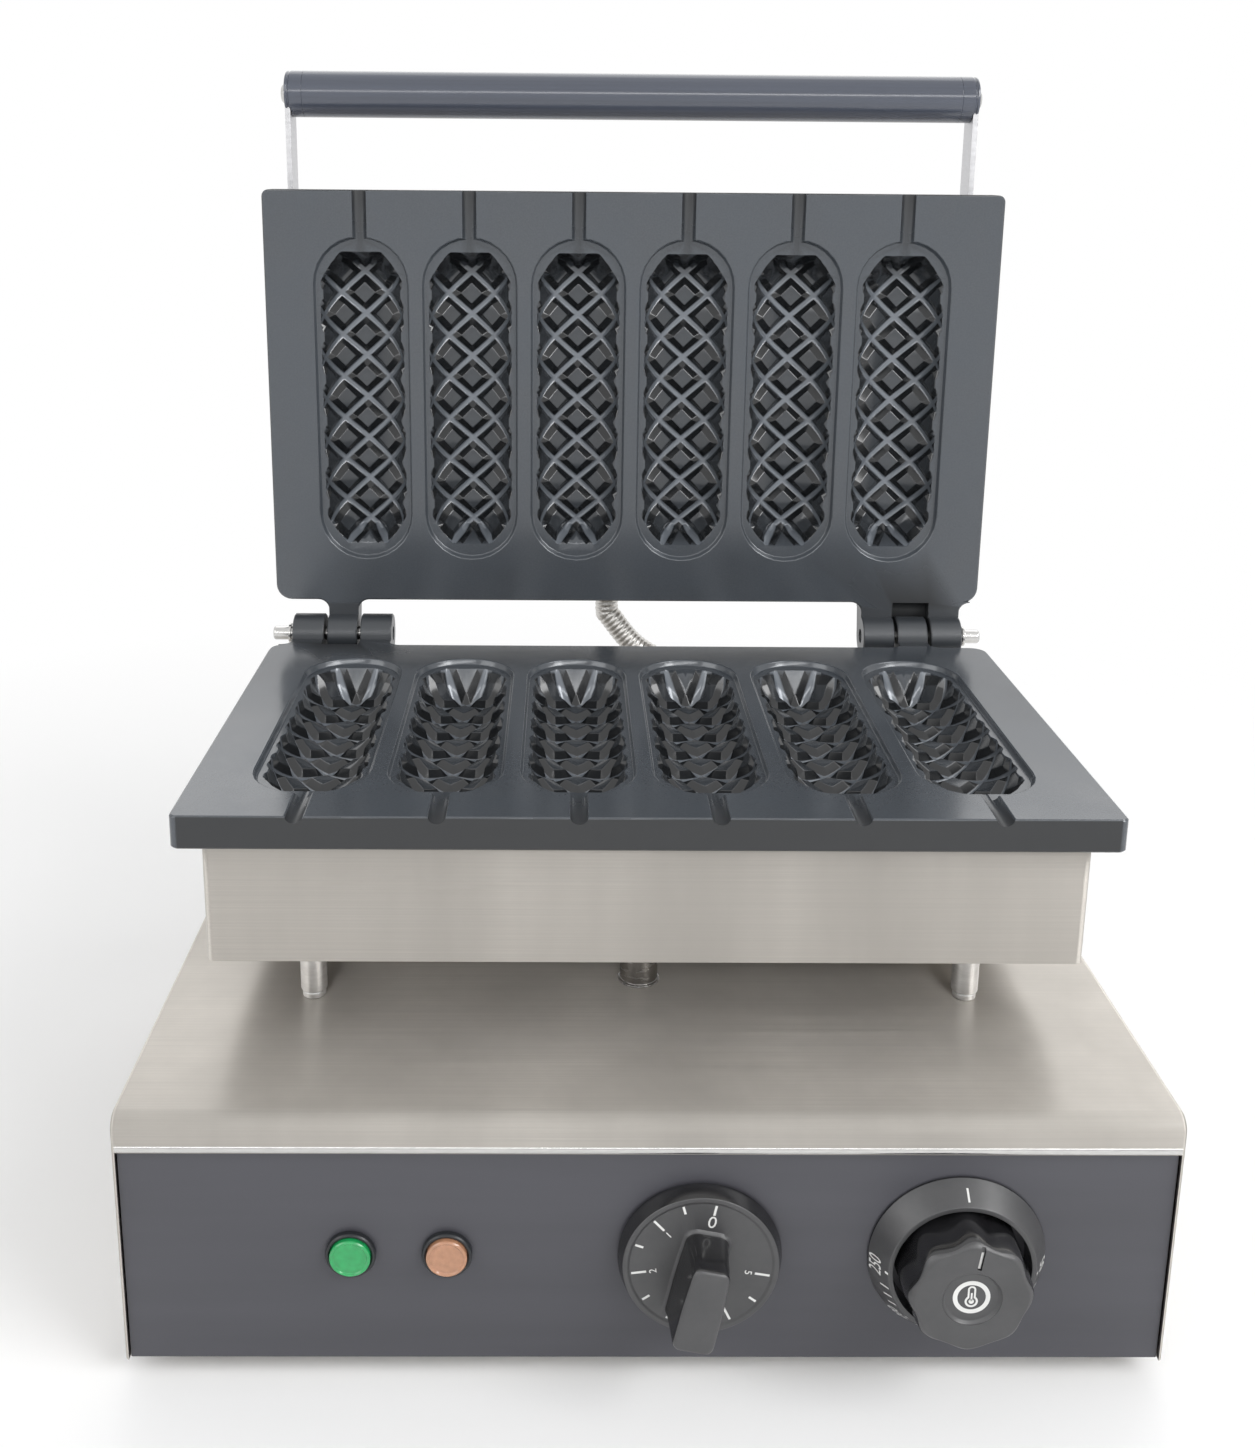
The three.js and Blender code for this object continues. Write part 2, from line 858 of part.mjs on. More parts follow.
// A point of a trough's lattice, counted in half pitches across and along it. It lies on the arc
// through the studs' tops, or is sunk from there by a share of the grooves' depth.
function latticePoint(x, across, along, sinkShare) {
  const angle = (across * studStep) / troughRadius;
  const radius = troughRadius + sinkShare * grooveDepth;
  const arcDepth = radius * Math.cos(angle) - troughRadius + troughDepth;
  const endDepth = endSlope * (troughLength / 2 - Math.abs(along) * studStep);
  const depth = rimDepth + Math.min(arcDepth, endDepth);
  return [x + radius * Math.sin(angle), plateMiddle + along * studStep, face - depth];
}

function crossing(x, across, along) {
  return latticePoint(x, across, along, crossingSinkShares[Math.abs(across)]);
}

// The trough's edge beside a place on the lattice, on the floor of the rim
function mouthPoint(x, side, along) {
  const wave = along % 2 === 0 ? mouthWave : -mouthWave;
  return [x + side * (troughWidth / 2 + wave), plateMiddle + along * studStep, face - rimDepth];
}

// The slopes and the top of the stud at a place on the lattice
function studFaces(x, across, along) {
  const arms = [
    [1, 0],
    [0, 1],
    [-1, 0],
    [0, -1],
  ];
  const feet = arms.map(([u, v]) => crossing(x, across + u, along + v));
  const top = arms.map(([u, v]) =>
    latticePoint(x, across + studTopShare * u, along + studTopShare * v, 0),
  );
  const slopes = arms.map((_, i) => {
    const next = (i + 1) % arms.length;
    return [feet[i], feet[next], top[next], top[i]];
  });
  return [...slopes, top];
}

// One quarter of what lies round the whole studs: the half studs along the wall, the corner stud
// and the wall itself
function quarterFaces(x, side, end) {
  const last = studCount - 1;
  const groove = (across, along) => crossing(x, side * across, end * along);
  const mouth = (along) => mouthPoint(x, side, end * along);
  const [shoulder, corner] = mouthCorners(x, side, end);
  const faces = [];
  for (let along = 1; along <= last; along += 2) {
    const half = latticePoint(x, 2 * side, end * along, 0);
    const before = groove(2, along - 1);
    const after = along < last ? groove(2, along + 1) : shoulder;
    faces.push(
      [groove(1, along), before, half],
      [groove(1, along), half, after],
      [before, mouth(along), half],
      [half, mouth(along), after],
      [before, mouth(along - 1), mouth(along)],
    );
    if (along < last) {
      faces.push([after, mouth(along), mouth(along + 1)]);
    }
  }
  const stud = latticePoint(x, side, end * studCount, cornerSinkShare);
  faces.push(
    [groove(1, last), shoulder, stud],
    [groove(1, last), stud, groove(0, studCount)],
    [stud, shoulder, corner],
    [groove(0, studCount), stud, corner],
  );
  return side * end > 0 ? faces : faces.map((points) => points.reverse());
}

// Where the trough's outline turns in towards its end, and where it meets the end
function mouthCorners(x, side, end) {
  const z = face - rimDepth;
  const half = troughLength / 2;
  return [
    [x + (side * troughWidth) / 2, plateMiddle + end * (half - troughShoulder), z],
    [x + (side * troughEndShare * troughWidth) / 2, plateMiddle + end * half, z],
  ];
}

// The trough's outline, once round
function mouthRing(x) {
  const places = Array.from({ length: 2 * studCount - 1 }, (_, i) => i - studCount + 1);
  const right = [
    ...mouthCorners(x, 1, -1).reverse(),
    ...places.map((along) => mouthPoint(x, 1, along)),
    ...mouthCorners(x, 1, 1),
  ];
  const left = [
    ...mouthCorners(x, -1, 1).reverse(),
    ...places.map((along) => mouthPoint(x, -1, -along)),
    ...mouthCorners(x, -1, -1),
  ];
  return [...right, ...left];
}

function trough(x) {
  const rows = [-1, 0, 1].flatMap((across) => {
    const reach = across === 0 ? studCount - 1 : studCount - 2;
    const places = Array.from({ length: reach + 1 }, (_, i) => 2 * i - reach);
    return places.flatMap((along) => studFaces(x, across, along));
  });
  const rest = [-1, 1].flatMap((side) => [-1, 1].flatMap((end) => quarterFaces(x, side, end)));
  const ends = [-1, 1].map((end) => [
    crossing(x, 0, end * studCount),
    mouthCorners(x, end, end)[1],
    mouthCorners(x, -end, end)[1],
  ]);
  const ring = mouthRing(x);
  const tip = [x, plateMiddle, face + overrun];
  const lid = ring.map((point, i) => [ring[(i + 1) % ring.length], point, tip]);
  return skin([...rows, ...rest, ...ends, ...lid]);
}

function cavity(x) {
  const rim = prism(
    "z",
    stadium(rimWidth / 2, plateMiddle - rimLength / 2, plateMiddle + rimLength / 2),
    [face - rimDepth, face + overrun],
    archSteps,
  ).translate([x, 0, 0]);
  const stick = rod(
    "y",
    stickRadius,
    [plateFront - overrun, plateMiddle - troughLength / 2 + troughShoulder / 3],
    [x, face + stickLift],
    smallSides,
  );
  return join(rim, trough(x), stick);
}

// A hinge lug seen from the side: a neck from the plate's edge that ends in a knuckle round the pin
function lugProfile() {
  const start = Math.PI - Math.asin(face / knuckleRadius);
  const outline = new THREE.Shape();
  outline.moveTo(plateRear - overrun, edgeBottom);
  outline.lineTo(0, -knuckleRadius);
  outline.absarc(0, 0, knuckleRadius, -Math.PI / 2, start);
  outline.lineTo(plateRear - overrun, face);
  return outline;
}

function lug(from, to) {
  return prism("x", lugProfile(), [from, to], knuckleSteps);
}

// The flare that leads from the plate's edge into a lug's side
function neckFlare(x, side) {
  const outline = new THREE.Shape();
  outline.moveTo(x - side * overrun, plateRear - overrun);
  outline.lineTo(x + side * neckFillet, plateRear - overrun);
  outline.lineTo(x + side * neckFillet, plateRear);
  outline.absarc(
    x + side * neckFillet,
    plateRear + neckFillet,
    neckFillet,
    -Math.PI / 2,
    side > 0 ? -Math.PI : 0,
    side > 0,
  );
  outline.lineTo(x - side * overrun, plateRear + neckFillet);
  return prism("z", outline, [edgeBottom, face], bendSteps);
}

function castPlate() {
  const half = plateWidth / 2;
  const flange = prism(
    "z",
    roundedRectangle([-half, half], [plateFront, plateRear], frontCorner, rearCorner),
    [edgeBottom, face],
    bendSteps,
  );
  const bodyHalf = casingHalf - sheet - bodyInset;
  const bodyFront = casingFront + sheet + bodyInset;
  const bodyRear = casingRear - sheet - bodyInset;
  const body = block([-bodyHalf, bodyHalf], [bodyFront, bodyRear], [bodyBottom, face - rimDepth]);
  const pillars = [-1, 1].flatMap((side) =>
    [bodyFront + pillarInset, bodyRear - pillarInset].map((y) =>
      rod(
        "z",
        pillarRadius,
        [casingFloor + sheet + seat, edgeBottom],
        [side * (bodyHalf - pillarInset), y],
        smallSides,
      ),
    ),
  );
  const forkInner = [-hingeCentreX - forkGap / 2, -hingeCentreX + forkGap / 2];
  const forkOuter = [forkInner[0] - lugWidth, forkInner[1] + lugWidth];
  const single = [hingeCentreX - knuckleWidth / 2, hingeCentreX + knuckleWidth / 2];
  const lugs = [
    lug(forkOuter[0], forkInner[0]),
    lug(forkInner[1], forkOuter[1]),
    lug(single[0], single[1]),
    neckFlare(forkOuter[0], -1),
    neckFlare(forkOuter[1], 1),
    neckFlare(single[0], -1),
    neckFlare(single[1], 1),
  ];
  const bores = [forkOuter, single].map(([from, to]) =>
    rod("x", pinRadius + runningGap, [from - overrun, to + overrun]),
  );
  return cut(join(flange, body, ...pillars, ...lugs), ...bores, ...cavityCentres().map(cavity));
}

function hingePin(side) {
  const middle = side * hingeCentreX;
  const outerLug = middle + side * (forkGap / 2 + lugWidth);
  const innerLug = middle - side * (forkGap / 2 + lugWidth);
  const ends = [innerLug - side * pinInnerEnd, outerLug + side * pinOuterEnd];
  const ringFrom = outerLug + side * pinRingInset;
  const ringEnds = [ringFrom, ringFrom + side * pinRingWidth];
  return join(
    rod("x", pinRadius, ends),
    rod("x", pinRingRadius, ringEnds),
  );
}

function casing(holes) {
  const outer = prism(
    "z",
    roundedRectangle([-casingHalf, casingHalf], [casingFront, casingRear], casingCorner),
    [casingFloor, casingMouth],
  );
  const inner = prism(
    "z",
    roundedRectangle(
      [sheet - casingHalf, casingHalf - sheet],
      [casingFront + sheet, casingRear - sheet],
      casingCorner - sheet,
    ),
    [casingFloor + sheet, casingMouth + overrun],
  );
  return cut(outer, inner, ...holes);
}

function lowerCasing() {
  const floor = [casingFloor - overrun, casingFloor + sheet + overrun];
  const studHoles = postPlaces.map(([x, y]) =>
    rod("z", studRadius + seat, floor, [x, y - hingeY], smallSides),
  );
  const tubeHole = rod("z", tubeNeck + seat, floor, [0, tubeY - hingeY]);
  return casing([tubeHole, ...studHoles]);
}

function armScrewPlaces() {
  return [casingFront + armScrewInset, casingFront + armOverlap - armScrewInset];
}

function upperCasing() {
  const glandHole = rod(
    "y",
    glandNeck + seat,
    [casingRear - sheet - overrun, casingRear + overrun],
    [-lidGlandX, -lidGlandHeight],
  );
  const sides = [-casingHalf - overrun, casingHalf + overrun];
  const screwHoles = armScrewPlaces().map((y) =>
    rod("x", screwRadius + seat, sides, [y, -handleHeight], smallSides),
  );
  return casing([glandHole, ...screwHoles]);
}

// A run of straight pieces and half turns in the XY plane
class HalfTurn extends THREE.Curve {
  constructor(centre, radius) {
    super();
    this.centre = centre;
    this.radius = radius;
  }

  getPoint(t) {
    const angle = Math.PI * (t - 1 / 2);
    const offset = new THREE.Vector3(Math.cos(angle), Math.sin(angle), 0);
    return offset.multiplyScalar(this.radius).add(this.centre);
  }
}

function heater() {
  const z = bodyBottom - seat - heaterRadius;
  const half = heaterGap / 2;
  const turnX = heaterSpan / 2 - half;
  const startX = -heaterSpan / 2;
  const run = (y, from, to) => {
    const ends = [new THREE.Vector3(from, y, z), new THREE.Vector3(to, y, z)];
    return new THREE.LineCurve3(...ends);
  };
  const stretches = [
    [run(plateMiddle - half, startX, turnX), 1],
    [new HalfTurn(new THREE.Vector3(turnX, plateMiddle, z), half), heaterTurnSteps],
    [run(plateMiddle + half, turnX, startX), 1],
  ];
  const points = stretches.flatMap(([curve, steps], i) => {
    const all = curve.getPoints(steps);
    return i === 0 ? all : all.slice(1);
  });
  return tube(points, heaterRadius, heaterSides);
}

// A closed tube through points, with its section kept square to its own direction
function tube(points, radius, sides) {
  const rings = [];
  let side = new THREE.Vector3(0, 0, 1);
  points.forEach((point, i) => {
    const before = points[Math.max(i - 1, 0)];
    const after = points[Math.min(i + 1, points.length - 1)];
    const along = after.clone().sub(before).normalize();
    side = side.clone().addScaledVector(along, -side.dot(along));
    if (side.length() < 1 / roundSides) {
      side = new THREE.Vector3(0, 1, 0).addScaledVector(along, -along.y);
    }
    side.normalize();
    const other = along.clone().cross(side);
    rings.push(
      Array.from({ length: sides }, (_, k) => {
        const angle = (2 * Math.PI * k) / sides;
        return point
          .clone()
          .addScaledVector(side, radius * Math.cos(angle))
          .addScaledVector(other, radius * Math.sin(angle))
          .toArray();
      }),
    );
  });
  return loft(rings);
}

// The bar across both heater runs, drawn up to the plate by the boss in its middle
function heaterClamp() {
  const top = bodyBottom - 2 * seat - 2 * heaterRadius;
  const reach = heaterGap / 2 + heaterRadius + clampMargin;
  const bar = block(
    [-clampWidth / 2, clampWidth / 2],
    [plateMiddle - reach, plateMiddle + reach],
    [top - clampThickness, top],
  );
  const boss = rod(
    "z",
    clampBoss,
    [top - clampThickness, bodyBottom - seat],
    [0, plateMiddle],
    smallSides,
  );
  return join(bar, boss);
}

function thermostatBulb() {
  const z = bodyBottom - seat - bulbRadius;
  return rod(
    "x",
    bulbRadius,
    [bulbX - bulbLength / 2, bulbX + bulbLength / 2],
    [plateMiddle, z],
    smallSides,
  );
}

// Handle, drawn with the lid closed and the hinge pin on the X axis

function armOutline(gap) {
  const half = armWidth / 2 + gap;
  const outline = new THREE.Shape();
  outline.absarc(-handleReach, handleHeight, half, Math.PI / 2, (3 * Math.PI) / 2);
  const rear = casingFront + armOverlap - armWidth / 2;
  outline.absarc(rear, handleHeight, half, -Math.PI / 2, Math.PI / 2);
  return outline;
}

function handleArm(side) {
  const range = side > 0 ? [armInner, armOuter] : [-armOuter, -armInner];
  const through = [range[0] - overrun, range[1] + overrun];
  const screwHoles = armScrewPlaces().map((y) =>
    rod("x", screwRadius + seat, through, [y, handleHeight], smallSides),
  );
  const boltHole = rod(
    "x",
    boltRadius + seat,
    through,
    [-handleReach, handleHeight],
    smallSides,
  );
  return cut(prism("x", armOutline(0), range, archSteps), boltHole, ...screwHoles);
}

function armScrew(side, y) {
  const at = [y, handleHeight];
  const headFrom = armOuter + seat;
  const nutFrom = casingHalf - sheet - seat;
  const head = [side * headFrom, side * (headFrom + screwHeadHeight)];
  const shank = [side * headFrom, side * nutFrom];
  const nut = [side * nutFrom, side * (nutFrom - screwNutHeight)];
  return join(
    rod("x", screwHeadRadius, head, at, smallSides),
    rod("x", screwRadius, shank, at, smallSides),
    rod("x", screwNutRadius, nut, at, hexSides),
  );
}

function gripEnd() {
  return armOuter - capLength;
}

function handleGrip() {
  const at = [-handleReach, handleHeight];
  const end = gripEnd() - seat;
  const bores = [-1, 1].map((side) =>
    rod(
      "x",
      boltRadius + runningGap,
      [side * (end - boltDepth - seat), side * (end + overrun)],
      at,
      smallSides,
    ),
  );
  return cut(rod("x", gripRadius, [-end, end], at, knobSides), ...bores);
}

function handleCap(side) {
  const at = [-handleReach, handleHeight];
  const body = rod("x", gripRadius, [side * gripEnd(), side * armOuter], at);
  const slot = [side * (armInner - seat), side * (armOuter + overrun)].sort((a, b) => a - b);
  const recess = prism("x", armOutline(seat), slot, archSteps);
  const hole = rod(
    "x",
    boltRadius + seat,
    [side * (gripEnd() - overrun), side * (armOuter + overrun)],
    at,
    smallSides,
  );
  return cut(body, recess, hole);
}

function handleBolt(side) {
  const at = [-handleReach, handleHeight];
  const headFrom = armOuter + seat;
  const tip = gripEnd() - seat - boltDepth;
  const head = [side * headFrom, side * (headFrom + boltHeadHeight)];
  return join(
    rod("x", boltHeadRadius, head, at, smallSides),
    rod("x", boltRadius, [side * headFrom, side * tip], at, smallSides),
  );
}

// Conduit

// A gland drawn with the sheet's outer face at zero along its axis
function gland(axis, along, across) {
  const inside = -sheet - seat;
  const body = turned(
    axis,
    [
      [glandBore, inside],
      [glandNeck, inside],
      [glandNeck, glandLength],
      [glandBore, glandLength],
      [glandBore, inside],
    ].map(([radius, place]) => [radius, along + place]),
    across,
    smallSides,
  );
  const ring = (from, to) =>
    cut(
      rod(axis, glandRadius, [along + from, along + to], across, hexSides),
      rod(axis, glandBore, [along + from - overrun, along + to + overrun], across, smallSides),
    );
  return join(body, ring(seat, seat + glandNutHeight), ring(inside - nutHeight, inside));
}

// The conduit's path with the lid open, chosen by eye from its upper to its lower end. It leaves
// each gland straight.
function conduitPoints() {
  const top = new THREE.Vector3(
    lidGlandX,
    hingeY + lidGlandHeight,
    hingeZ - casingRear - glandLength - seat,
  );
  const bottom = new THREE.Vector3(
    baseGlandX,
    baseDepth - baseGlandInset,
    baseTop + glandLength + seat,
  );
  const bends = conduitDropShares.map((drop, i) => {
    const shares = new THREE.Vector3(conduitSideShares[i], conduitBackShares[i], drop);
    return bottom.clone().sub(top).multiply(shares).add(top);
  });
  const free = new THREE.CatmullRomCurve3([
    top.clone().add(new THREE.Vector3(0, 0, -2 * conduitRadius)),
    ...bends,
    bottom.clone().add(new THREE.Vector3(0, 0, 2 * conduitRadius)),
  ]);
  return [top, ...free.getSpacedPoints(conduitSteps), bottom];
}

function lidConduit() {
  return tube(conduitPoints(), conduitRadius, conduitSides);
}

// Assembly
function piece(parent, name, manifold, material) {
  const mesh = new THREE.Mesh(geometryOf(manifold), material);
  mesh.name = name;
  parent.add(mesh);
}

const base = new THREE.Group();
piece(base, "base_cover", baseCover(), brushedSteel);
piece(base, "front_panel", frontPanel(), panelPaint);
piece(base, "back_panel", backPanel(), brushedSteel);
piece(base, "base_pan", basePan(), brushedSteel);
footPlaces().forEach((at, i) => {
  const name = ["front_left", "front_right", "rear_left", "rear_right"][i];
  piece(base, `foot_${name}`, foot(at), rubber);
});
postPlaces.forEach((at, i) => {
  const name = ["front_left", "rear_left", "front_right", "rear_right"][i];
  piece(base, `post_${name}`, post(at), chromedSteel);
});
piece(base, "wire_tube", wireTube(), chromedSteel);
piece(base, "terminal_block", terminalBlock(), bodyPlastic);
piece(base, "cord_inlet", cordInlet(), rubber);
piece(base, "timer_body", mechanism(timerX), bodyPlastic);
piece(base, "timer_shaft", shaft(timerX), brass);
piece(base, "timer_knob", timerKnob(), blackPlastic);
piece(base, "thermostat_body", mechanism(thermostatX), bodyPlastic);
piece(base, "thermostat_shaft", shaft(thermostatX), brass);
piece(base, "thermostat_dial", thermostatDial(), blackPlastic);
piece(base, "thermostat_knob", thermostatKnob(), blackPlastic);
piece(base, "green_lamp_holder", lampHolder(greenLampX), darkPlastic);
piece(base, "green_lamp_lens", lampLens(greenLampX), greenLens);
piece(base, "amber_lamp_holder", lampHolder(amberLampX), darkPlastic);
piece(base, "amber_lamp_lens", lampLens(amberLampX), amberLens);
piece(
  base,
  "conduit_gland_lower",
  gland("z", baseTop, [baseGlandX, baseDepth - baseGlandInset]),
  chromedSteel,
);
piece(base, "lid_conduit", lidConduit(), chromedSteel);

const lowerUnit = new THREE.Group();
lowerUnit.position.set(0, hingeY, hingeZ);
piece(lowerUnit, "lower_plate", castPlate(), coatedIron);
piece(lowerUnit, "lower_casing", lowerCasing(), brushedSteel);
piece(lowerUnit, "lower_heater", heater(), heaterSteel);
piece(lowerUnit, "lower_heater_clamp", heaterClamp(), brushedSteel);
piece(lowerUnit, "thermostat_bulb", thermostatBulb(), chromedSteel);
piece(lowerUnit, "hinge_pin_left", hingePin(-1), chromedSteel);

const lid = new THREE.Group();
lid.position.set(0, hingeY, hingeZ);
lid.rotation.x = THREE.MathUtils.degToRad(-lidOpenAngle);
const upperUnit = new THREE.Group();
upperUnit.rotation.y = Math.PI;
lid.add(upperUnit);
piece(upperUnit, "upper_plate", castPlate(), coatedIron);
piece(upperUnit, "upper_casing", upperCasing(), brushedSteel);
piece(upperUnit, "upper_heater", heater(), heaterSteel);
piece(upperUnit, "upper_heater_clamp", heaterClamp(), brushedSteel);
piece(lid, "hinge_pin_right", hingePin(1), chromedSteel);
piece(
  lid,
  "conduit_gland_upper",
  gland("y", casingRear, [lidGlandX, lidGlandHeight]),
  chromedSteel,
);
piece(lid, "handle_grip", handleGrip(), handlePlastic);
for (const [side, name] of [
  [-1, "left"],
  [1, "right"],
]) {
  piece(lid, `handle_arm_${name}`, handleArm(side), brushedSteel);
  piece(lid, `handle_cap_${name}`, handleCap(side), darkPlastic);
  piece(lid, `handle_bolt_${name}`, handleBolt(side), chromedSteel);
  armScrewPlaces().forEach((y, i) => {
    const end = ["front", "rear"][i];
    piece(lid, `arm_screw_${name}_${end}`, armScrew(side, y), chromedSteel);
  });
}

// The origin lies under the middle of the whole, on the surface that the feet stand on
const machine = new THREE.Group();
machine.add(base, lowerUnit, lid);
machine.updateMatrixWorld(true);
const middle = new THREE.Box3().setFromObject(machine, true).getCenter(new THREE.Vector3());
const model = new THREE.Group();
machine.position.set(-middle.x, -middle.y, 0);
model.add(machine);
export default model;
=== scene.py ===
"""Looks of the corn dog waffle maker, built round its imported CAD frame.

Lengths are millimetres in this script and metres in Blender. The frame's origin lies under the
middle of the whole object, +Z is up, +Y goes from the controls to the hinges.
"""

import math

import bmesh
import bpy
import numpy as np
from mathutils import Matrix, Vector, kdtree

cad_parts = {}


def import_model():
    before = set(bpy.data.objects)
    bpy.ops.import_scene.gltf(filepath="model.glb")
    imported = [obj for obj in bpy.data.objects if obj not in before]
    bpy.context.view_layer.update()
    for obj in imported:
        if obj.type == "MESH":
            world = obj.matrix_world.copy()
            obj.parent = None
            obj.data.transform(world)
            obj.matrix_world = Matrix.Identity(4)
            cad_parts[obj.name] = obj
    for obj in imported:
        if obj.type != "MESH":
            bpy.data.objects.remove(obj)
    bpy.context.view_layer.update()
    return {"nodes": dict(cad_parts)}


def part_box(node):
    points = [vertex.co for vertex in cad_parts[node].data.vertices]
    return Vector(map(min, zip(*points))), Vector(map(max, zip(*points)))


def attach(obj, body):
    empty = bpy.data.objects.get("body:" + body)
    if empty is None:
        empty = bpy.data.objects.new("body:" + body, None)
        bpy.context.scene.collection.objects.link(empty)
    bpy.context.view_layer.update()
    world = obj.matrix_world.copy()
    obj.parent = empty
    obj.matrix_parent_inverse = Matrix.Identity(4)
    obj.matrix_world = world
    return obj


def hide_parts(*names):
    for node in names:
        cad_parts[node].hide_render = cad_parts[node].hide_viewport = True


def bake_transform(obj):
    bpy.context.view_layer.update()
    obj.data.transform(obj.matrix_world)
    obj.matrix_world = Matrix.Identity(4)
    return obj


MM = 0.001

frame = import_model()

# Fits and cuts
SEAT = 0.3
JOIN = 1.0  # how far pieces that become one reach into each other
OVERRUN = 2.0  # how far a cut runs past the face that it opens
MERGE = 1e-7  # metres
WELD = 1e-5  # metres
CORNER_SHARE = 0.45  # the most of a stretch that a rounded corner takes

# Profiles below are pairs of a radius and a distance along the axis.

# Sheet steel base
SHEET = 1.2
COVER_BEND = 6.0
COVER_BEND_STEPS = 12
COVER_EDGE = 1.4
COVER_EDGE_STEPS = 4
COVER_RIM = 0.45
LIP_HEIGHT = 13.4
BEAD_HEIGHT = 2.8
BEAD_PROUD = 0.4
BEAD_END = 1.3
BEAD_SIDES = 24
FOOT = [(0, 0.6), (7, 0.6), (8, 0), (10, 0), (12, 7.7), (3, 7.7), (3, 9.5), (0, 9.5)]

# Posts and wire tube, from the base's top and from the casing's underside
POST_STUD = [(0, -2), (3, -2), (3, 0.2)]
POST_FOOT = [(4.2, 0.2), (4.4, 0.5), (4.4, 2.3), (4.0, 2.4), (4.0, 2.9), (4.8, 3.0), (5, 3.4)]
POST_HEAD = [(5, -0.6), (4.7, -0.3), (3, -0.3), (3, 2), (0, 2)]
TUBE_FOOT = [(4.2, -2), (5.4, -2), (5.4, 0.2), (8.1, 0.2), (8.1, 0.9), (7.3, 1.2)]
TUBE_HEAD = [(7.3, -0.3), (5.4, -0.3), (5.4, 2), (4.2, 2)]

# Cast plates, with the pin on the X axis and the cooking face up
FACE_GAP = 0.15
PLATE_WIDTH = 328.6
PLATE_DEPTH = 187.6
PLATE_EDGE = 12.3
PLATE_CHAMFER = 0.7
FRONT_CORNER = 3.0
REAR_CORNER = 7.0
CORNER_STEPS = 6
HINGE_SETBACK = 16.3
HINGE_X = PLATE_WIDTH / 2 - 31.1
KNUCKLE_RADIUS = 9.3
KNUCKLE_WIDTH = 13.8
KNUCKLE_STEPS = 24
FORK_GAP = 17.0
LUG_WIDTH = 14.5
LUG_SOFT = 0.5
LUG_MIDDLE = (-4.0, -2.0)
NECK_FILLET = 5.0
WEB_INSET = 0.3
WEB_TOP = 6.0
WEB_CLEARANCE = 0.8
PIN_BORE = 3.35
BODY_DROP = 8.0
BODY_SIDE_INSET = 15.6

# Cavities, from the cooking face down
CAVITY_COUNT = 6
CAVITY_PITCH = 48.6
RIM_WIDTH = 41.2
RIM_LENGTH = 146.0
RIM_DEPTH = 2.4
RIM_DRAFT = 0.5
RIM_ROUND = 0.7
RIM_ROUND_END = 100  # degrees, from 180 at its foot
RIM_ROUND_STEPS = 5
RIM_FOOT = [(-0.6, 0), (-0.2, 0.1), (0, 0.5)]
RIM_FLARE = (2, 1)
STADIUM_STEPS = 14
STICK_RADIUS = 3.2
STICK_LIFT = 0.6
STICK_END = 66.0
STICK_STEPS = 16
STICK_ROUND = 0.35
STICK_FLARE = [(0.15, -0.12), (0.45, 0), (0.45, OVERRUN)]
TROUGH_DEPTH = 11.7
MOUTH_HALF_WIDTH = 17.5
MOUTH_HALF_LENGTH = 67.0
MOUTH_END_HALF = 9.0
SHOULDER = 14.0
END_SLOPE = 2.2
SHOULDER_SLOPE = 2.2
BLEND_DEPTH = 1.6
ARC_RADIUS = (MOUTH_HALF_WIDTH**2 + TROUGH_DEPTH**2) / (2 * TROUGH_DEPTH)
ARC_LIMIT = math.radians(80)
ARC_FALL = 4.0

# The lattice of grooves and studs. Across and along count half pitches.
STEP = 9.6
LATTICE_PITCH = math.sqrt(2) * STEP
LATTICE_REACH = 6
LATTICE_ACROSS = 3.0
LATTICE_ALONG = 7.45
LATTICE_MATCH = 0.02
NUDGE = 0.01
TINY = 1e-12
PLANE_NEAR = 1e-8  # metres
MOULD_LIFT = 3.0
GROOVE_DEPTH = 3.0
GROOVE_SHALLOW_SHARE = 0.43
GROOVE_FULL_AT = 8.0
GROOVE_FLOOR = 1.0
GROOVE_TOP = 3.5
GROOVE_ROUND = 0.3
GROOVE_FADE = 5.0
END_LEAN = 0.25

# Light and shade painted into the coating's colour
# the trough is drawn darker towards its front end
DARK_END = 62.0
DARK_END_FADE = 9.0
DARK_END_SHARE = 0.85
# painted shade in the stick groove
STICK_SHADE = 0.4
STICK_SHADE_SHARE = 0.9
# painted shade towards the trough's sides, where the floors' painted highlight also fades
SIDE_SHADE = 0.6
# painted shade on the lugs, as a share of that on the edges
LUG_SHADE = 0.55
EDGE_NEAR = 0.1
FORK_NEAR = 0.01
PAINTED_LIGHT_MARKS = {  # the most that it shows, and its brightness as a share of the coating's: below 1 it paints shade, above 1 a highlight
    # painted shade over each trough's lattice, deepest towards its sides
    "trough": (1, 0.36),
    # painted shade on the groove walls and in the stick grooves, and darker towards each trough's
    # front end
    "groove_wall_shade": (0.9, 0.1),
    # painted highlight on the groove floors
    "groove_floor_highlight": (0.9, 3.0),
    # painted shade on the casting's edges, on its lugs and in its fork
    "edge_shade": (1, 0.2),
}

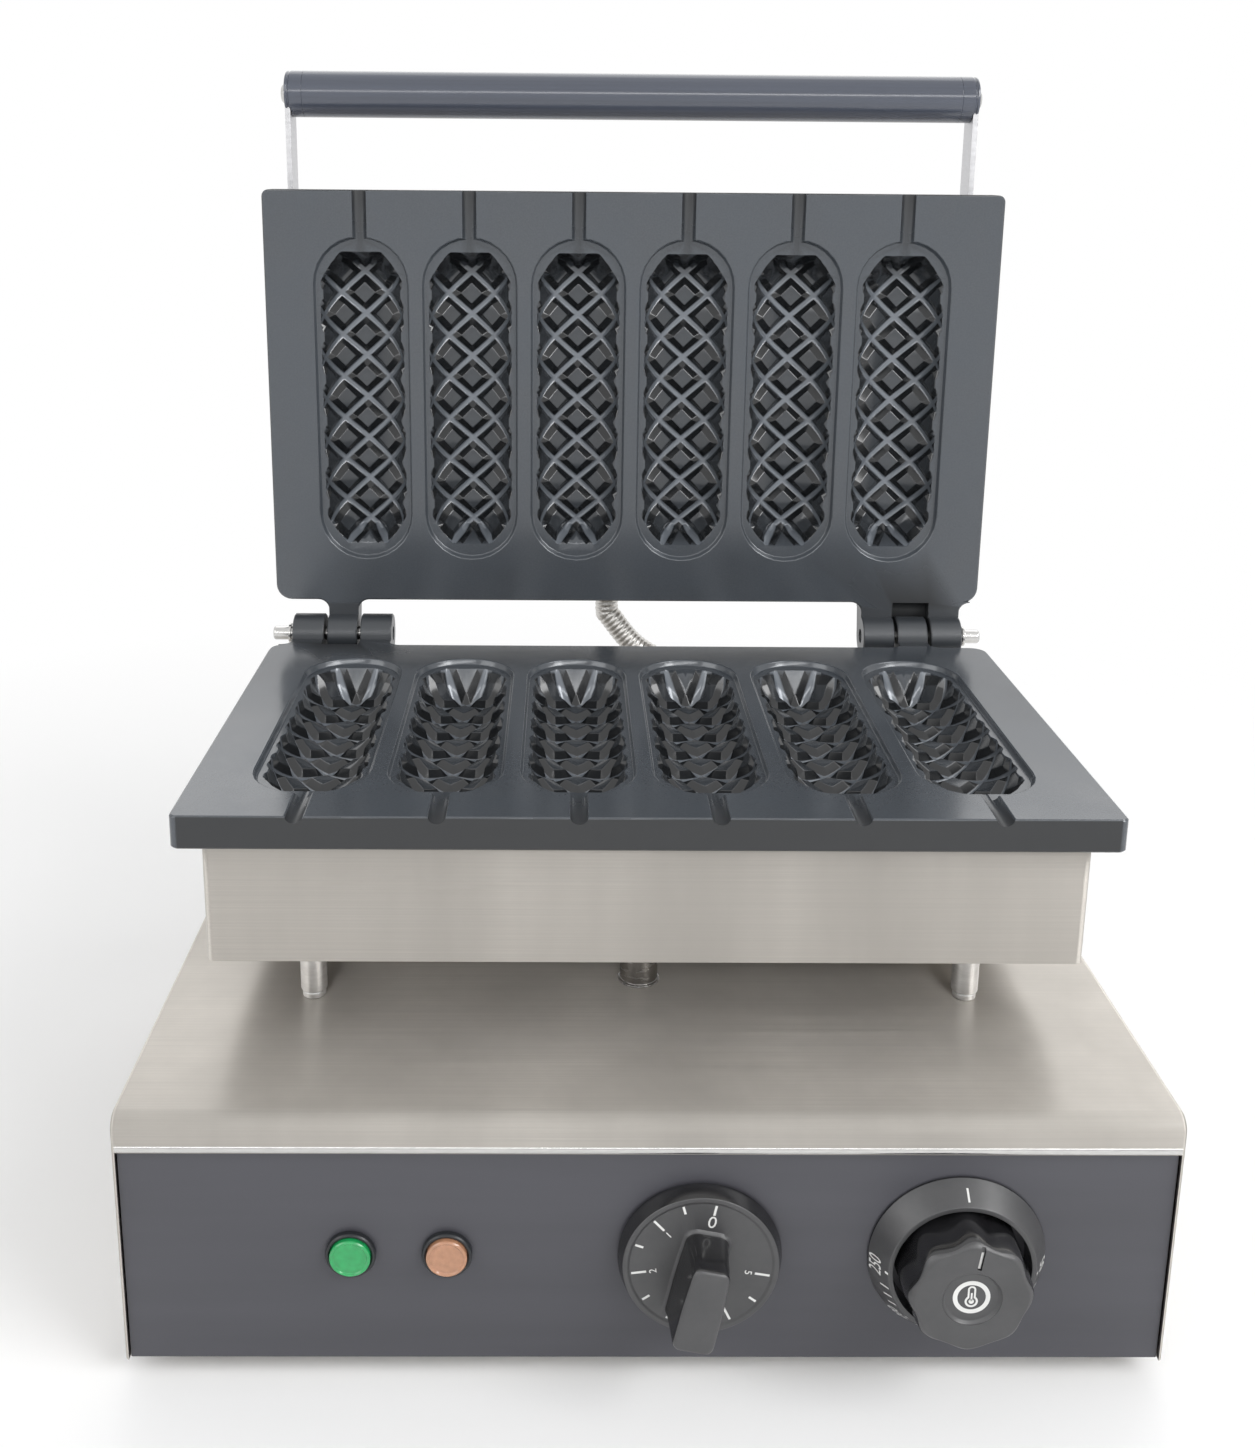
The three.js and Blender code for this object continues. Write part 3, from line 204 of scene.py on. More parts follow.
# Timer
TIMER_SKIRT = [(0, 0), (28, 0), (28, 1.2), (26.4, 6), (24.9, 6), (24.1, 5.5), (0, 5.5)]
TIMER_FACE = 6.0
TIMER_FLOOR = 5.5
TIMER_ZERO = 11.5
TIMER_DIVISION = 27.2
TIMER_DIVISIONS = 10
TIMER_STROKE = {"zero": 19.9, "long": 18.6, "short": 20.8}
TIMER_STROKE_END = 23.7
TIMER_NUMBER = {"zero": (17.0, 6.4), "long": (16.2, 3.6)}
BAR_ROOT = [(-8, -21), (8, -21), (7.9, -4), (7, 12.5), (-7, 12.5), (-7.9, -4)]
BAR_SOFT = 3.6
BAR_HALF_WIDTH = 8.0
BAR_MIDDLE = -4.25
BAR_HALF = 16.75
BAR_LOW = [(-1.6, -2), (-1.2, -0.5), (-0.4, 0.2), (0, 1.4)]  # inset and height over the face
BAR_HALFWAY = 0.5
BAR_HIGH = [(0.9, 1.6), (1.2, 0.7), (1.7, 0.15), (2.6, 0)]  # inset and depth under the front

# Thermostat
RING_OUTER = 30.4
RING_INNER = 25.0
RING_BORE = 23.4
RING_EDGE = 0.6
GRIP_LOBES = 8
GRIP_LOBE_STEPS = 20
GRIP_BACK = (22.2, 1.7)  # radius and scallop
GRIP_LEVELS = [  # radius, scallop and depth under the front
    (21.6, 1.7, 5.2),
    (21.0, 1.5, 2.4),
    (20.3, 1.2, 1.1),
    (19.5, 0.9, 0.35),
    (18.6, 0.6, 0),
]
DISH_RADIUS = 9.8
DISH_DEPTH = 1.1
DISH = [(0, -1), (10.4, -1), (DISH_RADIUS, 0.3), (8.9, DISH_DEPTH), (0, DISH_DEPTH)]
POINTER_ANGLE = 8.0
POINTER_DEPTH = 0.8
POINTER_HALF_WIDTH = 0.7
POINTER_ENDS = (11.2, 24)
POINTER_PRINT = (11.4, 17.6, 0.8)
SCALE_FIRST = 92
SCALE_STEP = 44
SCALE_NUMBERS = ("50", "100", "150", "200", "250")
SCALE_BEFORE = (14, 22, 30)
SCALE_TOP = (2, 1.0, 3.5, 0.7)  # angle, start and end from the ring's inner edge, and width
SCALE_LONG = (0.4, 2.6, 0.6)
SCALE_SHORT = (0.1, 0.9, 0.8)
SCALE_NUMBER = (28.3, 4.4)  # radius and size
SCALE_LIFT = 0.14
SIGN_RING = (6.2, 4.7)
SIGN_BULB_AT = -1.6
SIGN_TOP = 2.9
SIGN_OUTLINES = ((1.35, 2.2), (0.75, 1.5))  # stem and bulb
SIGN_BEAD = 0.9
SIGN_LINE = (0.28, -1.4, 1.6)
SIGN_LIFT = 0.07
PRINT_DEPTH = 0.06
NUMBER_DEPTH = 0.03

# Lamps, from the bezel's front and from the panel
BEZEL_PROUD = 2.2
BEZEL_FRONT = [(0, 1.6), (7.1, 1.6), (7.3, 0.2), (7.7, 0), (8.2, 0), (8.6, 0.6)]
BEZEL_BACK = [(8.6, 0), (6.2, 0), (6.2, 20), (0, 20)]
LENS_PROUD = 1.5
LENS_BACK = [(0, 1.4), (7.0, 1.4)]
LENS_FRONT = [(7.0, 0.5), (6.5, 0), (6.1, 0), (5.6, 0.55), (4.6, 0.3), (0, 0.05)]

# Hinge pins, handle and screws
PIN_INNER_TRIM = 3.3
PIN_COLLAR_PLACE = 8.4
PIN_START = [(0, 0), (2.8, 0), (3.25, 0.4)]
PIN_COLLAR = [(3.25, 0), (4.6, 0), (4.6, 1.2), (3.25, 1.2)]
PIN_END = [(3.25, -0.8), (2.6, 0), (0, 0)]
CAP_LINE = 1.9
CAP_GROOVE = [(0, -0.4), (0.45, 0), (0.45, 0.5), (0.1, 0.8)]  # inset and place past the line
CAP_END = [(0.3, -0.3), (0.9, 0)]
ARM_CLEARANCE = 0.3
SHANK_RADIUS = 2.0
HEAD_RIM = 0.5
HEAD_CROWN = [(0.8, -0.5), (0.4, 0), (0, 0)]  # share of the head's radius, then the place
RECESS_SHARE = 0.5
RECESS_HALF_WIDTH = 0.45
RECESS_DEPTH = 1.0
BOLT_HEAD = (4.6, 2.4)  # radius and height
SCREW_HEAD = (4.2, 2.2)

# Cord inlet, from its inner end and from the back panel
INLET_INSIDE = [(4.5, 0), (10, 0), (10, 2.2), (7.5, 2.4)]
INLET_OUTSIDE = [(7.5, 0.3), (10, 0.4), (10, 2.6), (8.6, 3.4)]
INLET_RIB = [(8.4, 4.4), (8.4, 6.2), (7.4, 6.6)]
INLET_RIBS = 3
INLET_RIB_PITCH = 3.6
INLET_TAPER = 0.3
INLET_END = [(7.5, 0), (4.5, 0)]

# Conduit and its glands
CONDUIT_TOP = (-9.0, 130.675, 208.95)
CONDUIT_BENDS = [(4.77, 128.64, 181.56), (29.25, 122.80, 167.39), (43.02, 114.67, 148.50)]
CONDUIT_BOTTOM = (42.0, 105.275, 114.5)
CONDUIT_RADIUS = 5.6
CONDUIT_PITCH = 2.4
CONDUIT_RIDGE = 0.32
CONDUIT_RIDGE_SHARE = 0.78
CONDUIT_RIDGE_POWER = 0.6
CONDUIT_LEAD = 11.2
CONDUIT_LEAD_STEPS = 6
CONDUIT_STEPS = 60
CONDUIT_SIDES = 30
RINGS_A_PITCH = 6
CURVE_STEPS = 24
NUT_PLACE = 10.7
NUT_HEIGHT = 6.0
NUT_CORNER = 9.0
NUT_SOFT = 0.8
GLAND_START = [(4, 0), (6.6, 0)]
GLAND_END = [(6.6, -4.2), (7.2, -4.0), (7.2, -0.6), (6.7, 0), (4, 0)]

# Light and camera
WORLD_FILL = 0.55
ROOM_FRONT = 0.88
ROOM_BACK = 0.95
ROOM_BACK_FROM = 0.4
FLOOR_REACH = 6000
FLOOR_COLOUR = (0.97, 0.97, 0.97, 1)
FLOOR_NEAR = 0.3  # metres
FLOOR_FAR = 0.8  # metres
LIGHTS = {  # place, target, size and power
    "key": ((1550, -1050, 1500), (0, 0, 200), (1400, 1000), 26),
    "fill": ((-1500, -900, 1100), (0, 0, 200), (1200, 1200), 9),
    "strip": ((350, -1300, 880), (0, 100, 380), (2400, 130), 5.5),
    "back": ((300, 1700, 1900), (0, 0, 250), (3000, 2000), 16),
}
CAMERA_PLACE = (-30.16, -577.265, 412.62)
CAMERA_YAW = math.radians(0.586)
CAMERA_PITCH = math.radians(13.527)
CAMERA_ROLL = math.radians(0.499)
CAMERA_LENS = 37.40
CAMERA_SENSOR = 36
CAMERA_SHIFT = (0.03357, -0.13875)

# Mesh tools


def linked(name, data):
    """A new object in the scene."""
    obj = bpy.data.objects.new(name, data)
    bpy.context.scene.collection.objects.link(obj)
    return obj


def new_object(name, points, faces, smooth=True):
    """A mesh object from points in millimetres."""
    mesh = bpy.data.meshes.new(name)
    mesh.from_pydata([tuple(c * MM for c in p) for p in points], [], faces)
    mesh.validate()
    bm = bmesh.new()
    bm.from_mesh(mesh)
    bmesh.ops.remove_doubles(bm, verts=bm.verts, dist=MERGE)
    bmesh.ops.recalc_face_normals(bm, faces=bm.faces)
    bm.to_mesh(mesh)
    bm.free()
    if smooth:
        mesh.polygons.foreach_set("use_smooth", [True] * len(mesh.polygons))
    return linked(name, mesh)


def crease(obj, degrees=32):
    """Edges sharper than that angle stay crisp, and the others shade smoothly."""
    mesh = obj.data
    mesh.polygons.foreach_set("use_smooth", [True] * len(mesh.polygons))
    mesh.set_sharp_from_angle(angle=math.radians(degrees))
    even = obj.modifiers.new("even_normals", "WEIGHTED_NORMAL")
    even.keep_sharp = True
    return obj


def soften_edges(obj, width, degrees):
    bevel = obj.modifiers.new("edges", "BEVEL")
    bevel.width = width * MM
    bevel.segments = 2
    bevel.limit_method = "ANGLE"
    bevel.angle_limit = math.radians(degrees)
    return bevel


def rounded(points, radius, steps, closed=False):
    """A path of 2-D points with its corners rounded."""
    count = len(points)
    path = []
    for i, point in enumerate(points):
        corner = np.array(point, float)
        if not closed and i in (0, count - 1):
            path.append(corner)
            continue
        before = np.array(points[i - 1], float) - corner
        after = np.array(points[(i + 1) % count], float) - corner
        lengths = [np.linalg.norm(before), np.linalg.norm(after)]
        reach = min(radius, *(CORNER_SHARE * length for length in lengths))
        start = corner + before / lengths[0] * reach
        end = corner + after / lengths[1] * reach
        for k in range(steps + 1):
            t = k / steps
            path.append((1 - t) ** 2 * start + 2 * t * (1 - t) * corner + t * t * end)
    return [tuple(p) for p in path]


def loft(name, rings, closed_ends=True):
    """A skin through rings of equal point counts."""
    count = len(rings[0])
    points = [p for ring in rings for p in ring]
    faces = []
    for ring in range(len(rings) - 1):
        for k in range(count):
            a = ring * count + k
            b = ring * count + (k + 1) % count
            faces.append((a, b, b + count, a + count))
    if closed_ends:
        faces.append(tuple(range(count)))
        faces.append(tuple(range((len(rings) - 1) * count, len(rings) * count)))
    return new_object(name, points, faces)


def arc(middle, radius, start, end, steps=CORNER_STEPS):
    """Points on an arc between two angles in degrees."""
    angles = [math.radians(start + (end - start) * k / steps) for k in range(steps + 1)]
    return [(middle[0] + radius * math.cos(a), middle[1] + radius * math.sin(a)) for a in angles]


def circle(middle, radius, steps):
    return arc(middle, radius, 0, 360, steps)[:-1]


def in_space(axis, along, u, v):
    """A point drawn in YZ for x, in XZ for y and in XY for z, at a place along that axis."""
    return {"x": (along, u, v), "y": (u, along, v), "z": (u, v, along)}[axis]


def turn(name, axis, profile, middle, sides=64, soften=0.25):
    """A profile turned round an axis, with its corners softened."""
    rings = []
    for radius, along in rounded(profile, soften, steps=3):
        rings.append([in_space(axis, along, u, v) for u, v in circle(middle, radius, sides)])
    return crease(loft(name, rings, closed_ends=False))


def placed(profile, start, direction=1):
    """A profile counted from a place on the axis, forwards or backwards."""
    return [(radius, start + direction * distance) for radius, distance in profile]


def prism(name, axis, outline, start, end):
    """An outline swept along an axis."""
    return loft(name, [[in_space(axis, along, u, v) for u, v in outline] for along in (start, end)])


def block(name, low, high):
    outline = [(low[0], low[1]), (high[0], low[1]), (high[0], high[1]), (low[0], high[1])]
    return prism(name, "z", outline, low[2], high[2])


def cylinder(name, radius, start, end, middle, sides):
    """A sharp-edged cylinder along X."""
    return turn(name, "x", [(0, start), (radius, start), (radius, end), (0, end)], middle, sides, 0)


def boolean(target, tools, operation):
    """Joins the tools to the target or cuts them from it, and removes them."""
    target.modifiers.clear()
    for tool in tools:
        modifier = target.modifiers.new("boolean", "BOOLEAN")
        modifier.operation = operation
        modifier.solver = "MANIFOLD"
        modifier.object = tool
        bpy.context.view_layer.update()
        graph = bpy.context.evaluated_depsgraph_get()
        mesh = bpy.data.meshes.new_from_object(target.evaluated_get(graph))
        target.modifiers.remove(modifier)
        old = target.data
        target.data = mesh
        bpy.data.meshes.remove(old)
        bpy.data.objects.remove(tool)
    return target


def merge(name, objects):
    """Several meshes as one object."""
    bm = bmesh.new()
    for obj in objects:
        bm.from_mesh(obj.data)
    mesh = bpy.data.meshes.new(name)
    bm.to_mesh(mesh)
    bm.free()
    for obj in objects:
        bpy.data.objects.remove(obj)
    return linked(name, mesh)


def shifted(obj, offset):
    obj.data.transform(Matrix.Translation(Vector(offset) * MM))
    return obj


def box_mm(node):
    low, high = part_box(node)
    return np.array(low) / MM, np.array(high) / MM


def centre(node, axis):
    """A node's middle across an axis, in the order that turn takes."""
    low, high = box_mm(node)
    return tuple(c for c, name in zip((low + high) / 2, "xyz") if name != axis)


def x_ends(node, side):
    """A node's inner and outer end along X. The side is -1 on the left and 1 on the right."""
    low, high = box_mm(node)
    return (high[0], low[0]) if side < 0 else (low[0], high[0])


# Shader tools


def nodes_of(name, **values):
    """A new material, its nodes and its shader with those inputs set."""
    material = bpy.data.materials.new(name)
    material.use_nodes = True
    tree = material.node_tree
    shader = tree.nodes["Principled BSDF"]
    for key, value in values.items():
        shader.inputs[key.replace("_", " ")].default_value = value
    return material, tree, shader


def put(tree, value, socket):
    """Links another node's output to an input, or sets the input."""
    if isinstance(value, bpy.types.NodeSocket):
        tree.links.new(value, socket)
    elif socket.type == "RGBA" and len(value) == 3:
        socket.default_value = (*value, 1)
    else:
        socket.default_value = value


def add(tree, kind, **values):
    """A node with its properties and inputs set."""
    node = tree.nodes.new(kind)
    for key, value in values.items():
        if hasattr(node, key):
            setattr(node, key, value)
        else:
            put(tree, value, node.inputs[key.replace("_", " ")])
    return node


def calculate(tree, operation, *values):
    """A sum or comparison of outputs and numbers."""
    node = add(tree, "ShaderNodeMath", operation=operation)
    for value, socket in zip(values, node.inputs):
        put(tree, value, socket)
    return node.outputs["Value"]


def mix(tree, kind, factor, low, high):
    """A mix of two colours, vectors or numbers."""
    node = add(tree, "ShaderNodeMix", data_type=kind)
    wanted = "VALUE" if kind == "FLOAT" else kind
    sockets = [s for s in node.inputs if s.type == wanted and s.enabled][-2:]
    for value, socket in zip((low, high), sockets):
        put(tree, value, socket)
    put(tree, factor, node.inputs["Factor"])
    return next(s for s in node.outputs if s.type == wanted)


def noise(tree, scale, detail=4.0, stretch=(1, 1, 1), roughness=0.5):
    coordinates = add(tree, "ShaderNodeTexCoord").outputs["Object"]
    mapping = add(tree, "ShaderNodeMapping", Vector=coordinates, Scale=stretch)
    node = add(tree, "ShaderNodeTexNoise", Scale=scale, Detail=detail, Roughness=roughness)
    put(tree, mapping.outputs["Vector"], node.inputs["Vector"])
    return node.outputs["Fac"]


def spread(tree, value, low, high, start=0.3, end=0.7):
    """Maps a noise, or another value between start and end, onto a range of numbers."""
    node = add(tree, "ShaderNodeMapRange", From_Min=start, From_Max=end, To_Min=low, To_Max=high)
    put(tree, value, node.inputs["Value"])
    return node.outputs["Result"]


def attribute(tree, name):
    return add(tree, "ShaderNodeAttribute", attribute_name=name).outputs["Fac"]


def separate(tree, vector):
    return add(tree, "ShaderNodeSeparateXYZ", Vector=vector).outputs


def bump(tree, shader, height, strength, distance):
    node = add(tree, "ShaderNodeBump", Strength=strength, Distance=distance * MM, Height=height)
    put(tree, node.outputs["Normal"], shader.inputs["Normal"])


def linear(*rgb):
    """A colour written in sRGB from 0 to 255, as linear light."""
    shares = [c / 255 for c in rgb]
    return tuple(s / 12.92 if s <= 0.04045 else ((s + 0.055) / 1.055) ** 2.4 for s in shares)


def tone(base, factor, lift=0.0):
    """A lighter or darker colour."""
    return [min(1, c * factor + lift) for c in base]


def mottle(tree, shader, pattern, low, high, gloss):
    """Colour and roughness that vary with a pattern. Gloss is the roughness's two ends."""
    colour = mix(tree, "RGBA", spread(tree, pattern, 0, 1), low, high)
    put(tree, colour, shader.inputs["Base Color"])
    put(tree, spread(tree, pattern, *gloss), shader.inputs["Roughness"])


# Materials


def brushed_steel(name, tint, roughness):
    """Sheet steel brushed along X, and along Y on faces that look along X."""
    material, tree, shader = nodes_of(name, Metallic=1, Anisotropic=1)
    geometry = add(tree, "ShaderNodeNewGeometry")
    facing = separate(tree, geometry.outputs["True Normal"])
    steep = calculate(tree, "ABSOLUTE", facing["X"])
    side = calculate(tree, "GREATER_THAN", steep, 0.7)
    across = add(tree, "ShaderNodeVectorMath", operation="CROSS_PRODUCT")
    put(tree, geometry.outputs["Normal"], across.inputs[0])
    put(tree, mix(tree, "VECTOR", side, (1, 0, 0), (0, 1, 0)), across.inputs[1])
    put(tree, across.outputs["Vector"], shader.inputs["Tangent"])
    lengthways = noise(tree, 1, detail=5, stretch=(7, 1500, 1500), roughness=0.62)
    sideways = noise(tree, 1, detail=5, stretch=(1500, 7, 1500), roughness=0.62)
    streak = mix(tree, "FLOAT", side, lengthways, sideways)
    clouds = noise(tree, 14, detail=3)
    # darker blotches at random, drawn out upright on upright faces
    dark_blotches = noise(tree, 1, detail=4, stretch=(16, 16, 2.5), roughness=0.55)
    base = linear(*tint)
    fine = mix(tree, "RGBA", spread(tree, streak, 0, 1), tone(base, 0.88), tone(base, 1.08))
    worn = mix(tree, "RGBA", spread(tree, clouds, 0, 0.4), fine, tone(base, 0.84))
    blotched = mix(tree, "RGBA", spread(tree, dark_blotches, 0, 0.7), worn, tone(base, 0.66))
    put(tree, blotched, shader.inputs["Base Color"])
    gloss = spread(tree, streak, roughness - 0.04, roughness + 0.05)
    underneath = spread(tree, facing["Z"], 0.15, 0, start=-0.9, end=-0.4)
    put(tree, calculate(tree, "ADD", gloss, underneath), shader.inputs["Roughness"])
    bump(tree, shader, streak, strength=0.1, distance=0.05)
    return material


def bright_steel(name, tint, roughness):
    """Turned or polished steel with light handling marks."""
    material, tree, shader = nodes_of(name, Metallic=1)
    marks = noise(tree, 160, detail=6, stretch=(1, 1, 4), roughness=0.6)
    base = linear(*tint)
    gloss = (roughness - 0.05, roughness + 0.1)
    mottle(tree, shader, marks, tone(base, 0.84), base, gloss)
    bump(tree, shader, marks, strength=0.06, distance=0.05)
    return material


def coated_aluminium(name, tint, roughness):
    """Cast aluminium under a non-stick coating: fine grain, mottling, and the plate's marks of
    painted shade and painted highlight.
    """
    material, tree, shader = nodes_of(name, Metallic=0.15, Specular_IOR_Level=0.85)
    grain = noise(tree, 1400, detail=3)
    patches = noise(tree, 30, detail=5, roughness=0.6)
    base = linear(*tint)
    bluish = [c * f for c, f in zip(base, (0.86, 0.93, 1.0))]
    colour = mix(tree, "RGBA", spread(tree, grain, 0, 1), tone(base, 0.9), tone(base, 1.1))
    colour = mix(tree, "RGBA", spread(tree, patches, 0, 0.5), colour, bluish)
    # each mark paints shade or a highlight into the coating's colour
    for mark, (most, factor) in PAINTED_LIGHT_MARKS.items():
        share = spread(tree, attribute(tree, mark), 0, most, start=0, end=1)
        colour = mix(tree, "RGBA", share, colour, tone(base, factor))
    put(tree, colour, shader.inputs["Base Color"])
    gloss = spread(tree, patches, roughness - 0.04, roughness + 0.05)
    # the marks that paint shade on the edges also make them rougher
    matt_edge = spread(tree, attribute(tree, "edge_shade"), 0, 0.35, start=0, end=1)
    put(tree, calculate(tree, "ADD", gloss, matt_edge), shader.inputs["Roughness"])
    bump(tree, shader, grain, strength=0.1, distance=0.04)
    return material


def paint(name, tint, roughness):
    """Powder coat with a fine orange peel and faint horizontal wipe marks."""
    material, tree, shader = nodes_of(name)
    peel = noise(tree, 900, detail=2)
    wipes = noise(tree, 5, detail=4, stretch=(1, 1, 14))
    base = linear(*tint)
    gloss = (roughness - 0.05, roughness + 0.06)
    mottle(tree, shader, wipes, tone(base, 0.9), tone(base, 1.08), gloss)
    bump(tree, shader, peel, strength=0.12, distance=0.05)
    return material


def knob_plastic(name, tint, flank, front):
    """Black plastic, polished on a knob's flanks and matt on the faces across its axis, where a
    painted sheen makes it lighter grey.
    """
    material, tree, shader = nodes_of(name, Specular_IOR_Level=0.9)
    facing = separate(tree, add(tree, "ShaderNodeTexCoord").outputs["Normal"])
    matt = spread(tree, calculate(tree, "ABSOLUTE", facing["Y"]), 0, 1, start=0.4, end=0.52)
    dust = noise(tree, 70, detail=6, roughness=0.65)
    base = linear(*tint)
    # painted sheen: the faces across the axis are drawn lighter than the flanks
    face_sheen = mix(tree, "RGBA", matt, base, tone(base, 2.6, lift=0.03))
    dusty = tone(base, 2.1, lift=0.012)
    colour = mix(tree, "RGBA", spread(tree, dust, 0, 0.7), face_sheen, dusty)
    put(tree, colour, shader.inputs["Base Color"])
    gloss = spread(tree, matt, flank, front, start=0, end=1)
    uneven = calculate(tree, "ADD", gloss, spread(tree, dust, -0.03, 0.06))
    put(tree, uneven, shader.inputs["Roughness"])
    bump(tree, shader, noise(tree, 1300, detail=3), strength=0.08, distance=0.04)
    return material


def plastic(name, tint, roughness, grain_scale=1100, grain_strength=0.1):
    """Moulded plastic or rubber: fine grain, slightly uneven gloss and dust."""
    material, tree, shader = nodes_of(name)
    grain = noise(tree, grain_scale, detail=3)
    dust = noise(tree, 40, detail=3)
    base = linear(*tint)
    dusty = tone(base, 1.08, lift=0.001)
    gloss = (roughness - 0.03, roughness + 0.05)
    mottle(tree, shader, dust, tone(base, 0.92), dusty, gloss)
    bump(tree, shader, grain, grain_strength, distance=0.04)
    return material


def rod_plastic(name, tint, roughness):
    """Glossy extruded plastic with faint lines along X."""
    material, tree, shader = nodes_of(name, Specular_IOR_Level=0.85)
    lines = noise(tree, 1, detail=3, stretch=(4, 420, 420))
    base = linear(*tint)
    gloss = (roughness - 0.03, roughness + 0.05)
    mottle(tree, shader, lines, tone(base, 0.9), tone(base, 1.12), gloss)
    bump(tree, shader, lines, strength=0.05, distance=0.03)
    return material


def lens_plastic(name, tint, painted_glow):
    """Clear tinted plastic with ripples, and a faint painted glow in its own colour in place of
    light from a pale reflector behind it.
    """
    base = linear(*tint)
    material, tree, shader = nodes_of(
        name,
        Roughness=0.12,
        Coat_Weight=0.6,
        Coat_Roughness=0.05,
        Subsurface_Weight=0.15,
        Subsurface_Radius=(0.002, 0.002, 0.002),
        # painted glow: the lens emits a little light in its own colour
        Emission_Color=(*base, 1),
        Emission_Strength=painted_glow,
    )
    ripples = noise(tree, 420, detail=3)
    colour = mix(tree, "RGBA", spread(tree, ripples, 0, 1), tone(base, 0.8), base)
    put(tree, colour, shader.inputs["Base Color"])
    bump(tree, shader, ripples, strength=0.35, distance=0.15)
    return material


LOOKS = {  # the function that makes it, its colour in sRGB and its other values
    "brushed_steel": (brushed_steel, (212, 207, 200), 0.45),
    "arm_steel": (bright_steel, (214, 214, 216), 0.4),
    "bright_steel": (bright_steel, (214, 213, 211), 0.16),
    "post_steel": (bright_steel, (246, 246, 246), 0.34),
    "tube_steel": (bright_steel, (168, 166, 164), 0.22),
    "coated_aluminium": (coated_aluminium, (76, 80, 85), 0.17),
    "panel_paint": (paint, (72, 72, 78), 0.42),
    "black_plastic": (knob_plastic, (21, 21, 23), 0.15, 0.42),
    "handle_plastic": (rod_plastic, (70, 75, 87), 0.17),
    "dark_plastic": (plastic, (36, 38, 41), 0.32),
    "grey_plastic": (plastic, (148, 149, 148), 0.55),
    "black_rubber": (plastic, (28, 28, 28), 0.8, 700, 0.2),
    "green_lens": (lens_plastic, (34, 158, 88), 0.12),
    "amber_lens": (lens_plastic, (182, 134, 104), 0.08),
    "heater_steel": (bright_steel, (118, 110, 102), 0.45),
    "brass": (bright_steel, (196, 166, 96), 0.3),
    "white_print": (plastic, (226, 226, 224), 0.5, 600, 0.08),
    "braided_steel": (bright_steel, (226, 224, 220), 0.4),
}
MATERIALS = {name: make(name, *values) for name, (make, *values) in LOOKS.items()}


def dress(obj, slot_name, material=None):
    """Gives a piece its material: the one named, else the one named like its slot."""
    obj.data.materials.clear()
    obj.data.materials.append(MATERIALS[material or slot_name])
    return obj


def place(obj, body, slot_name, *nodes, material=None):
    """Finishes a new piece: its material, the body that it rides on and what it replaces."""
    dress(obj, slot_name, material)
    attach(obj, body)
    if nodes:
        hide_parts(*nodes)
    return obj


# Stage, light and camera


def camera():
    data = bpy.data.cameras.new("camera")
    data.sensor_width = CAMERA_SENSOR
    data.lens = CAMERA_LENS
    data.shift_x, data.shift_y = CAMERA_SHIFT
    obj = linked("camera", data)
    level = Vector((math.sin(CAMERA_YAW), math.cos(CAMERA_YAW), 0))
    forward = level * math.cos(CAMERA_PITCH) - Vector((0, 0, math.sin(CAMERA_PITCH)))
    right = Vector((math.cos(CAMERA_YAW), -math.sin(CAMERA_YAW), 0))
    up = right.cross(forward)
    turned_right = math.cos(CAMERA_ROLL) * right + math.sin(CAMERA_ROLL) * up
    turned_up = -math.sin(CAMERA_ROLL) * right + math.cos(CAMERA_ROLL) * up
    matrix = Matrix((turned_right, turned_up, -forward)).transposed().to_4x4()
    matrix.translation = Vector(CAMERA_PLACE) * MM
    obj.matrix_world = matrix
    bpy.context.scene.camera = obj


def area_light(name, place_mm, target_mm, size_mm, power):
    data = bpy.data.lights.new(name, "AREA")
    data.shape = "RECTANGLE"
    data.size, data.size_y = (s * MM for s in size_mm)
    data.energy = power
    obj = linked(name, data)
    obj.location = Vector(place_mm) * MM
    aim = Vector(target_mm) * MM - obj.location
    obj.rotation_euler = aim.to_track_quat("-Z", "Y").to_euler()


def seen_directly(tree, *others):
    """1 for camera rays, rays through glass and the other kinds of ray that are named."""
    path = add(tree, "ShaderNodeLightPath").outputs
    result = path["Is Camera Ray"]
    for name in ("Is Transmission Ray", *others):
        result = calculate(tree, "MAXIMUM", result, path[name])
    return result


def background(tree, strength):
    white = (1, 1, 1, 1)
    return add(tree, "ShaderNodeBackground", Color=white, Strength=strength).outputs["Background"]


def mix_shaders(tree, share, first, second):
    node = add(tree, "ShaderNodeMixShader", Fac=share)
    put(tree, first, node.inputs[1])
    put(tree, second, node.inputs[2])
    return node.outputs["Shader"]


def world():
    """White for the camera, a softly shaded room in reflections and a plain fill for the rest."""
    studio = bpy.data.worlds.new("studio")
    bpy.context.scene.world = studio
    studio.use_nodes = True
    tree = studio.node_tree
    directions = add(tree, "ShaderNodeTexCoord").outputs["Generated"]
    towards = separate(tree, directions)["Y"]
    room = spread(tree, towards, ROOM_FRONT, ROOM_BACK, start=-1, end=ROOM_BACK_FROM)
    glossy = add(tree, "ShaderNodeLightPath").outputs["Is Glossy Ray"]
    lit = mix_shaders(tree, glossy, background(tree, WORLD_FILL), background(tree, room))
    seen = mix_shaders(tree, seen_directly(tree), lit, background(tree, 1))
    put(tree, seen, tree.nodes["World Output"].inputs["Surface"])


